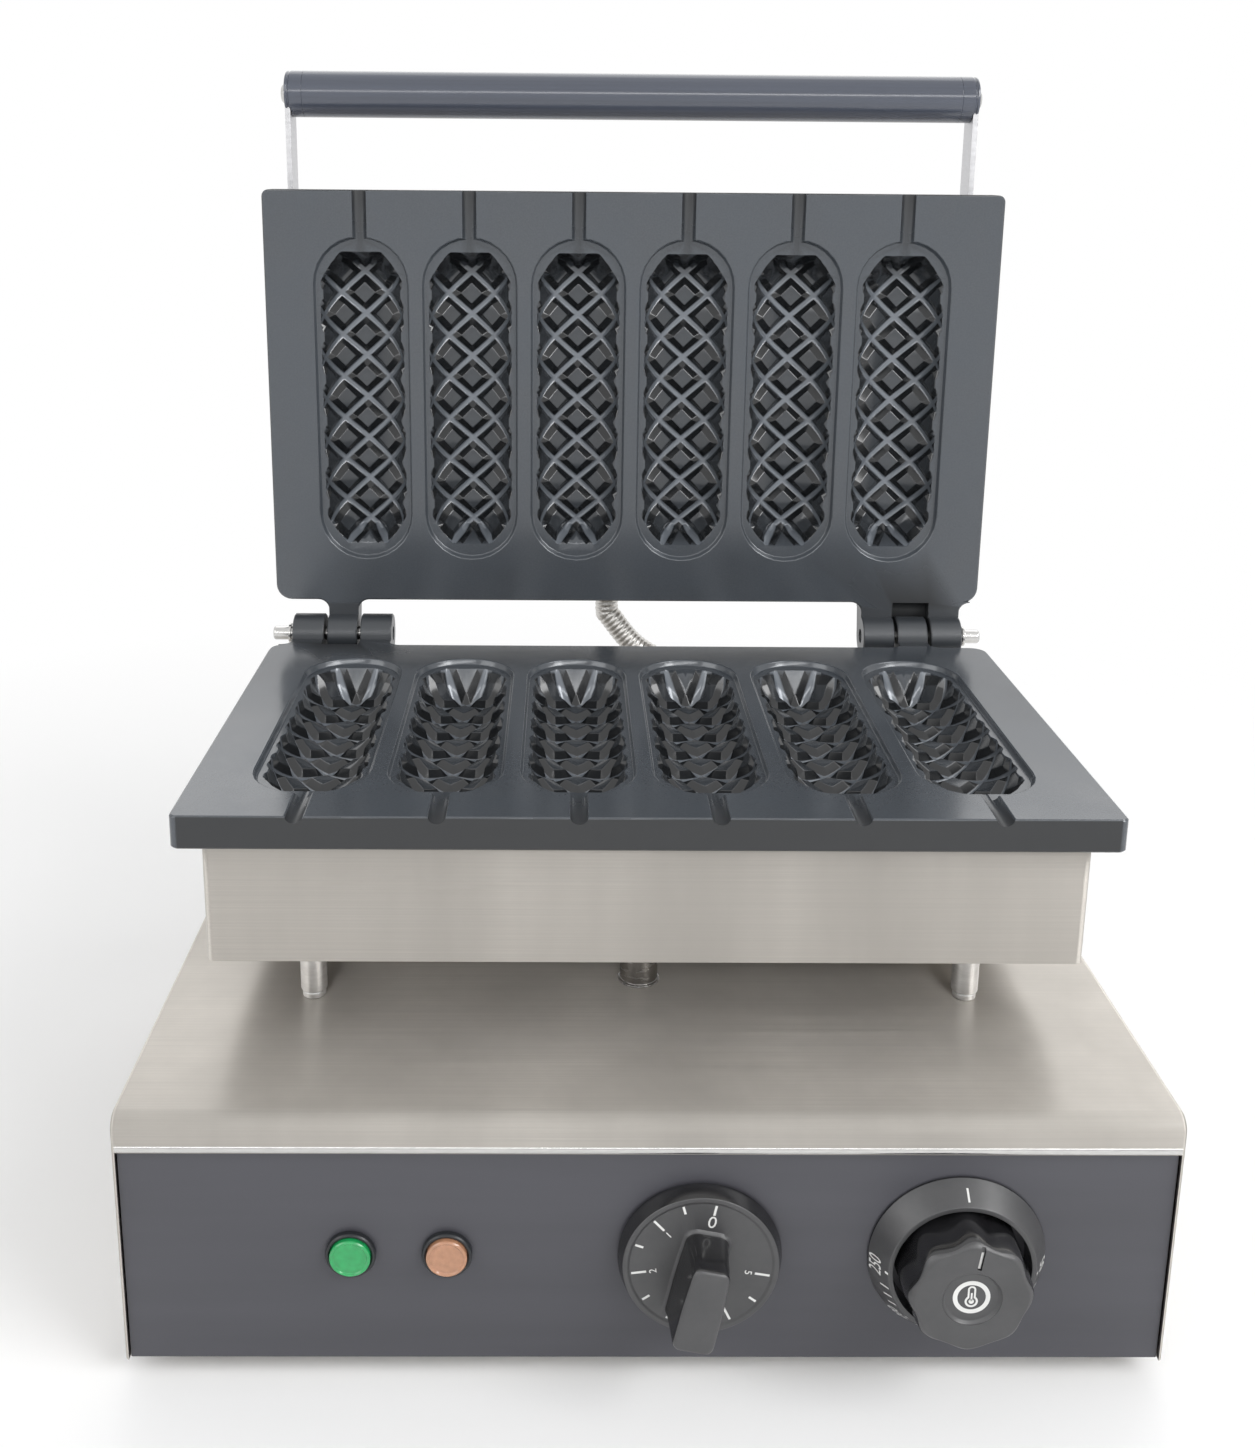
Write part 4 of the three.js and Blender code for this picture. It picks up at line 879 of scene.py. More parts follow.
def floor_material():
    """Pale and matt near the object, and plain white to the eye further out."""
    material, tree, shader = nodes_of("floor", Roughness=0.9, Specular_IOR_Level=0.1)
    shader.inputs["Base Color"].default_value = FLOOR_COLOUR
    white = add(tree, "ShaderNodeEmission", Color=(1, 1, 1, 1), Strength=1).outputs["Emission"]
    distance = add(tree, "ShaderNodeVectorMath", operation="LENGTH")
    put(tree, add(tree, "ShaderNodeTexCoord").outputs["Object"], distance.inputs[0])
    outside = spread(tree, distance.outputs["Value"], 0, 1, start=FLOOR_NEAR, end=FLOOR_FAR)
    share = calculate(tree, "MULTIPLY", outside, seen_directly(tree, "Is Glossy Ray"))
    seen = mix_shaders(tree, share, shader.outputs["BSDF"], white)
    put(tree, seen, tree.nodes["Material Output"].inputs["Surface"])
    return material


def stage():
    reach = FLOOR_REACH
    corners = [(-reach, -reach, 0), (reach, -reach, 0), (reach, reach, 0), (-reach, reach, 0)]
    floor = new_object("floor", corners, [(0, 1, 2, 3)], smooth=False)
    floor.data.materials.append(floor_material())
    world()
    for name, values in LIGHTS.items():
        area_light(name, *values)


# Sheet steel base


def cover_outline(inset, bottom):
    """The base cover seen from its side."""
    low, high = box_mm("base_cover")
    bend = COVER_BEND - inset
    front, back, top = low[1] + inset, high[1] - inset, high[2] - inset
    points = [(front, bottom), (back, bottom)]
    points += arc((back - bend, top - bend), bend, 0, 90, COVER_BEND_STEPS)
    return points + arc((front + bend, top - bend), bend, 90, 180, COVER_BEND_STEPS)


def base_cover():
    """A folded sheet with soft edges, open at the bottom and under its two lips."""
    low, high = box_mm("base_cover")
    half, bottom, top = high[0], low[2], high[2]
    ends = arc((half - COVER_EDGE, COVER_EDGE), COVER_EDGE, 0, -90, COVER_EDGE_STEPS)
    rings = []
    for x, inset in [(-x, inset) for x, inset in ends] + ends[::-1]:
        rings.append([(x, y, z) for y, z in cover_outline(inset, bottom)])
    cover = loft("cover", rings)
    inner = half - SHEET
    hollow = prism("hollow", "x", cover_outline(SHEET, bottom - OVERRUN), -inner, inner)
    window_low = (-inner, low[1] - OVERRUN, bottom - OVERRUN)
    window = block("window", window_low, (inner, high[1] + OVERRUN, top - LIP_HEIGHT))
    boolean(cover, [hollow, window], "DIFFERENCE")
    soften_edges(cover, COVER_RIM, degrees=60)
    crease(cover, 34)
    place(cover, "base", "brushed_steel", "base_cover")


def lip_beads():
    """The cover's sheet, rolled back on itself along the lower edge of each lip."""
    low, high = box_mm("base_cover")
    end = high[0] - BEAD_END
    across, rise = (SHEET + BEAD_PROUD) / 2, BEAD_HEIGHT / 2
    z = high[2] - LIP_HEIGHT + rise
    unit = circle((0, 0), 1, BEAD_SIDES)
    for name, y, outwards in (("front", low[1], -1), ("rear", high[1], 1)):
        middle = y - outwards * (SHEET - BEAD_PROUD) / 2
        section = [(middle + across * u, z + rise * v) for u, v in unit]
        bead = prism(f"lip_bead_{name}", "x", section, -end, end)
        place(crease(bead, 50), "base", "bright_steel", "base_cover")


def foot(node):
    piece = turn(node + "_rubber", "z", FOOT, centre(node, "z"), sides=48, soften=0.7)
    place(piece, "base", "black_rubber", node)


# Posts and wire tube


def base_and_casing():
    """The heights that a post stands between."""
    return box_mm("base_cover")[1][2], box_mm("lower_casing")[0][2]


def post(node):
    """A turned spacer with a fine groove over its narrower foot."""
    bottom, top = base_and_casing()
    profile = placed(POST_STUD + POST_FOOT, bottom) + placed(POST_HEAD, top)
    piece = turn(node + "_spacer", "z", profile, centre(node, "z"), sides=48, soften=0.15)
    place(piece, "base", "bright_steel", node, material="post_steel")


def wire_tube():
    bottom, top = base_and_casing()
    foot_part = placed(TUBE_FOOT, bottom)
    profile = foot_part + placed(TUBE_HEAD, top) + foot_part[:1]
    piece = turn("wire_sleeve", "z", profile, centre("wire_tube", "z"), sides=64, soften=0.35)
    place(piece, "base", "bright_steel", "wire_tube", material="tube_steel")


# Cavities


def soft_least(a, b, reach):
    """The smaller of two depths, with the crease between them rounded."""
    h = np.clip((1 + (b - a) / reach) / 2, 0, 1)
    return b * (1 - h) + a * h - reach * h * (1 - h)


def trough_base(across, along):
    """Points of a trough through its studs' tops, counted in half pitches."""
    angle = across * STEP / ARC_RADIUS
    held = np.clip(angle, -ARC_LIMIT, ARC_LIMIT)
    x = ARC_RADIUS * np.sin(held)
    past = np.abs(angle) - np.abs(held)
    bowl = TROUGH_DEPTH - ARC_RADIUS * (1 - np.cos(held)) - ARC_FALL * past
    y = along * STEP
    end = END_SLOPE * (MOUTH_HALF_LENGTH - np.abs(y))
    run = MOUTH_HALF_WIDTH - MOUTH_END_HALF
    inward = (MOUTH_HALF_WIDTH - np.abs(x)) * SHOULDER
    inward = inward + (MOUTH_HALF_LENGTH - SHOULDER - np.abs(y)) * run
    shoulder = SHOULDER_SLOPE * inward / math.hypot(run, SHOULDER)
    depth = soft_least(soft_least(bowl, end, BLEND_DEPTH), shoulder, BLEND_DEPTH)
    return np.stack([x, y, -RIM_DEPTH - depth], axis=-1)


def to_groove(across, along):
    """The distance to the middle line of the nearest groove."""
    first = (across + along) / 2
    second = (across - along) / 2
    nearest = np.minimum(np.abs(first - np.round(first)), np.abs(second - np.round(second)))
    return nearest * LATTICE_PITCH


def trough_points(across, along):
    """The trough's lattice surface: square studs with grooves between them."""
    base = trough_base(across, along)
    du = trough_base(across + NUDGE, along) - trough_base(across - NUDGE, along)
    dv = trough_base(across, along + NUDGE) - trough_base(across, along - NUDGE)
    outward = np.cross(dv, du)
    outward[..., 1] *= END_LEAN
    outward /= np.maximum(np.linalg.norm(outward, axis=-1, keepdims=True), TINY)
    slope = GROOVE_TOP - GROOVE_FLOOR
    share = np.clip((GROOVE_TOP - to_groove(across, along)) / slope, 0, 1)
    fullness = np.clip((-base[..., 2] - RIM_DEPTH) / GROOVE_FULL_AT, 0, 1)
    depth = GROOVE_DEPTH * share * (GROOVE_SHALLOW_SHARE + (1 - GROOVE_SHALLOW_SHARE) * fullness)
    inside = np.clip((MOUTH_HALF_LENGTH - np.abs(base[..., 1])) / GROOVE_FADE, 0, 1)
    return base + outward * (depth * inside)[..., None]


def lattice_marks(across, along):
    """Where the walls and the floors of the grooves are, each from 0 to 1."""
    distance = to_groove(across, along)
    floor, above = (
        np.clip((edge + GROOVE_ROUND - distance) / (2 * GROOVE_ROUND), 0, 1)
        for edge in (GROOVE_FLOOR, GROOVE_TOP)
    )
    return np.stack([above * (1 - floor), floor], axis=-1)


def lattice_lines():
    """Places of the mesh lines across the grooves, with extra ones at each edge to round it."""
    offsets = [0]
    for edge in (GROOVE_FLOOR, GROOVE_TOP):
        offsets += [edge - GROOVE_ROUND, edge + GROOVE_ROUND]
    shares = [offset / LATTICE_PITCH for offset in offsets]
    places = sorted({*shares, *(-share for share in shares), 1 / 2})
    return np.array([n + p for n in range(-LATTICE_REACH, LATTICE_REACH + 1) for p in places])


def lattice():
    """Points, marks and faces of one trough."""
    lines = lattice_lines()
    first, second = np.meshgrid(lines, lines, indexing="ij")
    across, along = first + second, first - second
    kept = (np.abs(across) <= LATTICE_ACROSS) & (np.abs(along) <= LATTICE_ALONG)
    points = trough_points(across, along).reshape(-1, 3)
    marks = lattice_marks(across, along).reshape(-1, 2)
    count = len(lines)
    faces = []
    for i in range(count - 1):
        for j in range(count - 1):
            if kept[i : i + 2, j : j + 2].all():
                a = i * count + j
                faces.append((a, a + count, a + count + 1, a + 1))
    used = sorted({k for face in faces for k in face})
    number = {k: n for n, k in enumerate(used)}
    return points[used], marks[used], [tuple(number[k] for k in face) for face in faces]


def mould_tool(points, faces):
    """The closed form that cuts one trough, with its mouth at the floor of the rim."""
    tool = new_object("trough", points, faces)
    bm = bmesh.new()
    bm.from_mesh(tool.data)
    bmesh.ops.bisect_plane(
        bm,
        geom=bm.verts[:] + bm.edges[:] + bm.faces[:],
        dist=PLANE_NEAR,
        plane_co=(0, 0, -RIM_DEPTH * MM),
        plane_no=(0, 0, 1),
        clear_outer=True,
    )
    rim = [e for e in bm.edges if e.is_boundary]
    lifted = bmesh.ops.extrude_edge_only(bm, edges=rim)["geom"]
    verts = [g for g in lifted if isinstance(g, bmesh.types.BMVert)]
    bmesh.ops.translate(bm, verts=verts, vec=(0, 0, MOULD_LIFT * MM))
    bmesh.ops.holes_fill(bm, edges=[e for e in bm.edges if e.is_boundary])
    bmesh.ops.recalc_face_normals(bm, faces=bm.faces)
    bm.to_mesh(tool.data)
    bm.free()
    return tool


def stadium(half_width, half_length):
    """A straight-sided outline with half-round ends."""
    straight = half_length - half_width
    rear = arc((0, straight), half_width, 0, 180, STADIUM_STEPS)
    return rear + arc((0, -straight), half_width, 180, 360, STADIUM_STEPS)


def rim_tool():
    """The shallow rim round a trough, with a round where it meets the plate's face."""
    corner = RIM_DRAFT + RIM_ROUND
    levels = [(widen, rise - RIM_DEPTH) for widen, rise in RIM_FOOT]
    levels += arc((corner, -RIM_ROUND), RIM_ROUND, 180, RIM_ROUND_END, RIM_ROUND_STEPS)
    levels.append((corner + RIM_FLARE[0], RIM_FLARE[1]))
    rings = []
    for widen, z in levels:
        outline = stadium(RIM_WIDTH / 2 + widen, RIM_LENGTH / 2 + widen)
        rings.append([(x, y, z) for x, y in outline])
    return loft("rim", rings)


def stick_tool():
    """The groove that a stick lies in, from the plate's front edge into the trough."""
    edge = math.degrees(math.asin((STICK_LIFT + STICK_ROUND) / STICK_RADIUS))
    section = arc((0, STICK_LIFT), STICK_RADIUS, 180 + edge, 360 - edge, STICK_STEPS)
    half = section[-1][0]
    section += [(half + out, rise) for out, rise in STICK_FLARE]
    section += [(-half - out, rise) for out, rise in STICK_FLARE[::-1]]
    return prism("stick", "y", section, -PLATE_DEPTH / 2 - OVERRUN, -STICK_END)


# Cast plates


def neck_outline(middle, reach, inset):
    """A hinge neck that grows out of the rear edge in two fillets, cut off square."""
    out = -HINGE_SETBACK + NECK_FILLET
    bend = NECK_FILLET + inset
    right = arc((middle + reach + NECK_FILLET, out), bend, 270, 180)
    left = arc((middle - reach - NECK_FILLET, out), bend, 0, -90)
    return [(x, min(y, out - inset)) for x, y in right + left]


def plate_outline(inset):
    """The plate seen from above, with its hinge necks."""
    half = PLATE_WIDTH / 2
    front, rear = -HINGE_SETBACK - PLATE_DEPTH, -HINGE_SETBACK
    low, high = FRONT_CORNER - inset, REAR_CORNER - inset
    points = arc((-half + FRONT_CORNER, front + FRONT_CORNER), low, 180, 270)
    points += arc((half - FRONT_CORNER, front + FRONT_CORNER), low, 270, 360)
    points += arc((half - REAR_CORNER, rear - REAR_CORNER), high, 0, 90)
    points += neck_outline(HINGE_X, KNUCKLE_WIDTH / 2, inset)
    points += neck_outline(-HINGE_X, FORK_GAP / 2 + LUG_WIDTH, inset)
    return points + arc((-half + REAR_CORNER, rear - REAR_CORNER), high, 90, 180)


def lug(start, end):
    """A hinge lug: a neck that ends in a knuckle round the pin."""
    face, bottom = -FACE_GAP, -FACE_GAP - PLATE_EDGE
    root = -HINGE_SETBACK + JOIN
    last = 180 - math.degrees(math.asin(face / KNUCKLE_RADIUS))
    knuckle = arc((0, 0), KNUCKLE_RADIUS, -90, last, KNUCKLE_STEPS)
    points = [(root, bottom), *knuckle, (root, face)]

    def ring(x, shrink):
        middle = np.array(LUG_MIDDLE)
        scale = 1 - shrink / KNUCKLE_RADIUS
        return [(x, *(middle + (np.array(p) - middle) * scale)) for p in points]

    levels = [(start, LUG_SOFT), (start + LUG_SOFT, 0), (end - LUG_SOFT, 0), (end, LUG_SOFT)]
    return loft("lug", [ring(x, shrink) for x, shrink in levels])


def fork_web(bottom):
    """The wall between the fork's two lugs, hollowed to clear the knuckle that turns in it."""
    half = FORK_GAP / 2 + JOIN
    left, right = -HINGE_X - half, -HINGE_X + half
    low = (left, -HINGE_SETBACK - JOIN, bottom + WEB_INSET)
    web = block("web", low, (right, 0, bottom + WEB_TOP))
    reach = KNUCKLE_RADIUS + WEB_CLEARANCE
    clearing = cylinder("clearing", reach, left - JOIN, right + JOIN, (0, 0), sides=48)
    return boolean(web, [clearing], "DIFFERENCE")


def shade_on_edges(x, y, z, middle, face):
    """Painted shade on the casting's edges, in its fork and on its lugs: how dark the coating is
    drawn there.
    """
    if abs(x + HINGE_X) < FORK_GAP / 2 + FORK_NEAR and y > -HINGE_SETBACK - FORK_NEAR:
        return 1.0
    if y > -HINGE_SETBACK + JOIN:
        return LUG_SHADE
    outside = max(abs(x) - PLATE_WIDTH / 2, abs(y - middle) - PLATE_DEPTH / 2)
    return float(outside > -EDGE_NEAR and z < face - PLATE_CHAMFER / 2)


def cavity_marks(x, y, z, marks):
    """Shares of painted shade on the groove walls, painted highlight on the groove floors and
    painted shade over the trough, at a point seen from its cavity.
    """
    wall, floor = marks if marks is not None else (0, 0)
    # painted shade in the stick groove
    in_stick = abs(x) < STICK_RADIUS * STICK_SHADE_SHARE and y < -STICK_END
    if in_stick and -STICK_RADIUS - JOIN < z < -JOIN:
        wall = STICK_SHADE
    if marks is None:
        return wall, 0.0, 0.0
    # darker towards the trough's front end, where the floors' painted highlight stops
    clear = min(max((y + DARK_END) / DARK_END_FADE, 0), 1)
    aside = min(abs(x) / MOUTH_HALF_WIDTH, 1)
    wall = max(wall, DARK_END_SHARE * (1 - clear))
    # painted highlight on the floors and painted shade over the trough, each varied towards the
    # sides
    return wall, floor * clear * (1 - SIDE_SHADE * aside**2), 1 - SIDE_SHADE * (1 - aside)


def mark_plate(plate, points, marks, centres, middle, face):
    """Notes on the casting which points are edges, and which lie on a trough's grooves."""
    tree = kdtree.KDTree(len(points))
    for i, point in enumerate(points):
        tree.insert(Vector(point), i)
    tree.balance()
    rows = []
    for vertex in plate.data.vertices:
        x, y, z = vertex.co / MM
        nearest = min(centres, key=lambda centre_x: abs(centre_x - x))
        place_in = (x - nearest, y - middle, z - face)
        _, index, distance = tree.find(place_in)
        found = marks[index] if distance < LATTICE_MATCH else None
        rows.append((*cavity_marks(*place_in, found), shade_on_edges(x, y, z, middle, face)))
    names = ("groove_wall_shade", "groove_floor_highlight", "trough", "edge_shade")
    for name, values in zip(names, zip(*rows)):
        layer = plate.data.attributes.new(name, "FLOAT", "POINT")
        layer.data.foreach_set("value", values)


def plate_blank(name, middle):
    """The plate before its cavities and bores: slab, body, lugs and knuckle."""
    face, bottom = -FACE_GAP, -FACE_GAP - PLATE_EDGE
    levels = [(PLATE_CHAMFER, face), (0, face - PLATE_CHAMFER)]
    levels += [(0, bottom + PLATE_CHAMFER), (PLATE_CHAMFER, bottom)]
    blank = loft(name, [[(x, y, z) for x, y in plate_outline(inset)] for inset, z in levels])
    half_x = PLATE_WIDTH / 2 - BODY_SIDE_INSET
    half_y = PLATE_DEPTH / 2 - BODY_SIDE_INSET
    low = (-half_x, middle - half_y, bottom - BODY_DROP)
    added = [block("body", low, (half_x, middle + half_y, bottom + JOIN))]
    inner, outer = FORK_GAP / 2, FORK_GAP / 2 + LUG_WIDTH
    added.append(lug(-HINGE_X - outer, -HINGE_X - inner))
    added.append(lug(-HINGE_X + inner, -HINGE_X + outer))
    added.append(lug(HINGE_X - KNUCKLE_WIDTH / 2, HINGE_X + KNUCKLE_WIDTH / 2))
    return boolean(blank, added, "UNION")


def cast_plate(name):
    """A plate as cast, with the pin on the X axis and the cooking face up."""
    face, bottom = -FACE_GAP, -FACE_GAP - PLATE_EDGE
    middle = -HINGE_SETBACK - PLATE_DEPTH / 2
    plate = plate_blank(name, middle)
    half = FORK_GAP / 2
    gap_low = (-HINGE_X - half, -HINGE_SETBACK, bottom - JOIN)
    cuts = [block("notch", gap_low, (-HINGE_X + half, 0, face + JOIN))]
    fork_reach = half + LUG_WIDTH + OVERRUN
    for x, reach in ((-HINGE_X, fork_reach), (HINGE_X, KNUCKLE_WIDTH)):
        cuts.append(cylinder("bore", PIN_BORE, x - reach, x + reach, (0, 0), sides=32))
    points, marks, faces = lattice()
    centres = [(i - (CAVITY_COUNT - 1) / 2) * CAVITY_PITCH for i in range(CAVITY_COUNT)]
    for x in centres:
        for tool in (rim_tool(), mould_tool(points, faces), stick_tool()):
            cuts.append(shifted(tool, (x, middle, face)))
    boolean(plate, cuts, "DIFFERENCE")
    boolean(plate, [fork_web(bottom)], "UNION")
    mark_plate(plate, points, marks, centres, middle, face)
    return crease(plate, 30)


def plates():
    """The lower plate, and the same casting turned over and stood up as the upper one."""
    pin = Matrix.Translation(Vector((0, *centre("hinge_pin_left", "x"))) * MM)
    lower = cast_plate("lower_casting")
    upper = crease(linked("upper_casting", lower.data.copy()), 30)
    lower.data.transform(pin)
    opened = Matrix.Rotation(-math.pi / 2, 4, "X") @ Matrix.Rotation(math.pi, 4, "Y")
    upper.data.transform(pin @ opened)
    place(lower, "base", "coated_aluminium", "lower_plate")
    place(upper, "lid", "coated_aluminium", "upper_plate")


# Controls


def timer_knob():
    """A skirt with a raised edge round a shallow dish, and a tapered bar to grip."""
    low, high = box_mm("timer_knob")
    x, z = centre("timer_shaft", "y")
    front, face = low[1], high[1] - TIMER_FACE
    profile = placed(TIMER_SKIRT, high[1], -1)
    skirt = turn("skirt", "y", profile, (x, z), sides=128, soften=0.3)
    outline = rounded(BAR_ROOT, BAR_SOFT, steps=6, closed=True)
    levels = placed(BAR_LOW, face, -1)
    levels.append((BAR_HALFWAY, (face + front) / 2))
    levels += placed(BAR_HIGH, front)
    cos, sin = math.cos(math.radians(TIMER_ZERO)), math.sin(math.radians(TIMER_ZERO))
    rings = []
    for shrink, y in levels:
        ring = []
        for u, v in outline:
            a = u * (1 - shrink / BAR_HALF_WIDTH)
            b = BAR_MIDDLE + (v - BAR_MIDDLE) * (1 - shrink / BAR_HALF)
            ring.append((x + a * cos + b * sin, y, z - a * sin + b * cos))
        rings.append(ring)
    boolean(skirt, [loft("bar", rings)], "UNION")
    skirt.name = "timer_grip"
    place(crease(skirt, 40), "timer_knob", "black_plastic", "timer_knob")


def lobed(radius, depth):
    """A round outline with shallow scallops, a lobe at the top."""
    points = []
    steps = GRIP_LOBES * GRIP_LOBE_STEPS
    for i in range(steps):
        angle = 2 * math.pi * i / steps
        reach = radius - depth * math.sin(GRIP_LOBES * angle / 2) ** 2
        points.append((reach * math.sin(angle), reach * math.cos(angle)))
    return points


def thermostat_knob():
    """A scalloped grip with a round shoulder, a pointer groove and a dished middle."""
    low, high = box_mm("thermostat_knob")
    x, z = centre("thermostat_shaft", "y")
    back, front = high[1], low[1]
    levels = [(*GRIP_BACK, back)]
    levels += [(radius, scallop, front + depth) for radius, scallop, depth in GRIP_LEVELS]
    rings = [[(x + u, y, z + v) for u, v in lobed(radius, dip)] for radius, dip, y in levels]
    grip = loft("grip", rings)
    dish = turn("dish", "y", placed(DISH, front), (x, z), sides=96, soften=0.25)
    dish.modifiers.clear()
    start, end = POINTER_ENDS
    low_corner = (-POINTER_HALF_WIDTH, front - JOIN, start)
    pointer = block("pointer", low_corner, (POINTER_HALF_WIDTH, front + POINTER_DEPTH, end))
    pointer.data.transform(Matrix.Rotation(math.radians(POINTER_ANGLE), 4, "Y"))
    boolean(grip, [dish, shifted(pointer, (x, 0, z))], "DIFFERENCE")
    grip.name = "thermostat_grip"
    place(crease(grip, 38), "thermostat_knob", "black_plastic", "thermostat_knob")


def thermostat_dial():
    """The conical ring on the panel."""
    low, high = box_mm("thermostat_dial")
    back, front = high[1], low[1]
    profile = [(RING_BORE, back), (RING_OUTER, back), (RING_OUTER, back - RING_EDGE)]
    profile += [(RING_INNER, front), (RING_BORE, front), (RING_BORE, back)]
    middle = centre("thermostat_dial", "y")
    piece = turn("thermostat_ring", "y", profile, middle, sides=128, soften=0.3)
    place(piece, "base", "black_plastic", "thermostat_dial")


def lamp(colour):
    """A bezel with a stepped, faceted lens inside."""
    middle = centre(f"{colour}_lamp_holder", "y")
    panel = box_mm("front_panel")[0][1] - SEAT
    front = panel - BEZEL_PROUD
    bezel = placed(BEZEL_FRONT, front) + placed(BEZEL_BACK, panel)
    piece = turn(f"{colour}_lamp_bezel", "y", bezel, middle, sides=64, soften=0.15)
    place(piece, "base", "dark_plastic", f"{colour}_lamp_holder")
    lens = placed(LENS_BACK, front) + placed(LENS_FRONT, front - LENS_PROUD)
    piece = turn(f"{colour}_lamp_cap", "y", lens, middle, sides=64, soften=0.2)
    place(piece, "base", f"{colour}_lens", f"{colour}_lamp_lens")


# Printed scales


def flat_mesh(name, polygons):
    """Polygons of 2-D points as one thin plate that faces -Y."""
    points, faces = [], []
    for polygon in polygons:
        start = len(points)
        count = len(polygon)
        points += [(u, y, v) for y in (0, PRINT_DEPTH) for u, v in polygon]
        faces.append(tuple(range(start, start + count)))
        faces.append(tuple(range(start + count, start + 2 * count)))
        for k in range(count):
            after = (k + 1) % count
            faces.append((start + k, start + after, start + count + after, start + count + k))
    return new_object(name, points, faces, smooth=False)


def bar_mark(angle, inner, outer, width):
    """A radial stroke. Angles run clockwise from the top, in degrees."""
    sin, cos = math.sin(math.radians(angle)), math.cos(math.radians(angle))
    corners = ((inner, -width / 2), (outer, -width / 2), (outer, width / 2), (inner, width / 2))
    return [(radius * sin + side * cos, radius * cos - side * sin) for radius, side in corners]


def digits(text, angle, radius, size):
    """Plain numbers as a mesh, their feet towards the dial's middle."""
    curve = bpy.data.curves.new("digits", "FONT")
    curve.body = text
    curve.align_x = "CENTER"
    curve.align_y = "CENTER"
    curve.size = size * MM
    curve.extrude = NUMBER_DEPTH * MM
    curve.resolution_u = 3
    obj = linked("digits", curve)
    bpy.context.view_layer.update()
    mesh = bpy.data.meshes.new_from_object(obj)
    bpy.data.objects.remove(obj)
    upright = Matrix.Rotation(math.pi / 2, 4, "X")
    lifted = Matrix.Translation(Vector((0, 0, radius * MM)))
    mesh.transform(Matrix.Rotation(math.radians(angle), 4, "Y") @ lifted @ upright)
    return linked("digits", mesh)


def laid_on(obj, middle, surface):
    """Moves a flat print onto a dial, where surface gives the place along Y at each radius."""
    x, z = middle
    for vertex in obj.data.vertices:
        u, y, v = vertex.co / MM
        vertex.co = Vector((x + u, y + surface(math.hypot(u, v)), z + v)) * MM
    return obj


def printed(name, parts, node, surface, body):
    """One print of several parts, laid on a control."""
    scale = laid_on(merge(name, parts), centre(node, "y"), surface)
    place(scale, body, "grey_plastic", material="white_print")


def timer_scale():
    """Ten divisions counted against the clock from 0, every second one long and numbered."""
    face = box_mm("timer_knob")[1][1] - TIMER_FLOOR
    strokes, parts = [], []
    for i in range(TIMER_DIVISIONS + 1):
        angle = TIMER_ZERO - i * TIMER_DIVISION
        kind = "zero" if i == 0 else "short" if i % 2 else "long"
        strokes.append(bar_mark(angle, TIMER_STROKE[kind], TIMER_STROKE_END, width=0.8))
        if kind != "short":
            parts.append(digits(str(i // 2), angle, *TIMER_NUMBER[kind]))
    parts.append(flat_mesh("strokes", strokes))
    printed("timer_marks", parts, "timer_shaft", lambda radius: face - PRINT_DEPTH, "timer_knob")


def thermostat_scale():
    """Plain numbers and strokes on the conical ring."""
    low, high = box_mm("thermostat_dial")
    front = low[1]
    slope = (high[1] - RING_EDGE - front) / (RING_OUTER - RING_INNER)

    def surface(radius):
        return front + max(radius - RING_INNER, 0) * slope - SCALE_LIFT

    def stroke(angle, start, end, width):
        return bar_mark(angle, RING_INNER + start, RING_INNER + end, width)

    strokes, parts = [stroke(*SCALE_TOP)], []
    for i, text in enumerate(SCALE_NUMBERS):
        angle = SCALE_FIRST + SCALE_STEP * i
        parts.append(digits(text, angle, *SCALE_NUMBER))
        strokes.append(stroke(angle, *SCALE_SHORT))
        if i:
            strokes += [stroke(angle - before, *SCALE_LONG) for before in SCALE_BEFORE]
    parts.append(flat_mesh("strokes", strokes))
    printed("thermostat_marks", parts, "thermostat_dial", surface, "base")


def band(outer, inner):
    """The quads between two outlines of equal counts."""
    following = zip(outer, outer[1:] + outer[:1], inner[1:] + inner[:1], inner)
    return [list(corners) for corners in following]


def bulb_outline(stem, bulb):
    """A thermometer's outline: a round bulb under a straight stem with a round top."""
    opening = math.degrees(math.asin(stem / bulb))
    points = arc((0, SIGN_BULB_AT), bulb, 90 - opening, opening - 270, steps=20)
    return points + arc((0, SIGN_TOP), stem, 180, 0, steps=20)


def thermostat_sign():
    """A ring round a thermometer on the grip's dished middle, and the pointer's filling."""
    front = box_mm("thermostat_knob")[0][1]
    polygons = band(*(circle((0, 0), radius, steps=48) for radius in SIGN_RING))
    polygons += band(*(bulb_outline(stem, bulb) for stem, bulb in SIGN_OUTLINES))
    polygons.append(circle((0, SIGN_BULB_AT), SIGN_BEAD, steps=16))
    half, low, high = SIGN_LINE
    polygons.append([(-half, low), (half, low), (half, high), (-half, high)])
    polygons.append(bar_mark(POINTER_ANGLE, *POINTER_PRINT))

    def surface(radius):
        return front + (DISH_DEPTH if radius < DISH_RADIUS else POINTER_DEPTH) - SIGN_LIFT

    sign = flat_mesh("thermostat_sign", polygons)
    laid_on(sign, centre("thermostat_shaft", "y"), surface)
    place(sign, "thermostat_knob", "grey_plastic", material="white_print")


# Hinge pins, handle and fasteners


def hinge_pin(side, name, body):
    node = f"hinge_pin_{name}"
    inner, outer = x_ends(node, side)
    profile = placed(PIN_START, inner + side * PIN_INNER_TRIM, side)
    profile += placed(PIN_COLLAR, outer - side * PIN_COLLAR_PLACE, side)
    profile += placed(PIN_END, outer, side)
    piece = turn(f"hinge_rod_{name}", "x", profile, centre(node, "x"), sides=40, soften=0.2)
    place(piece, body, "bright_steel", node)


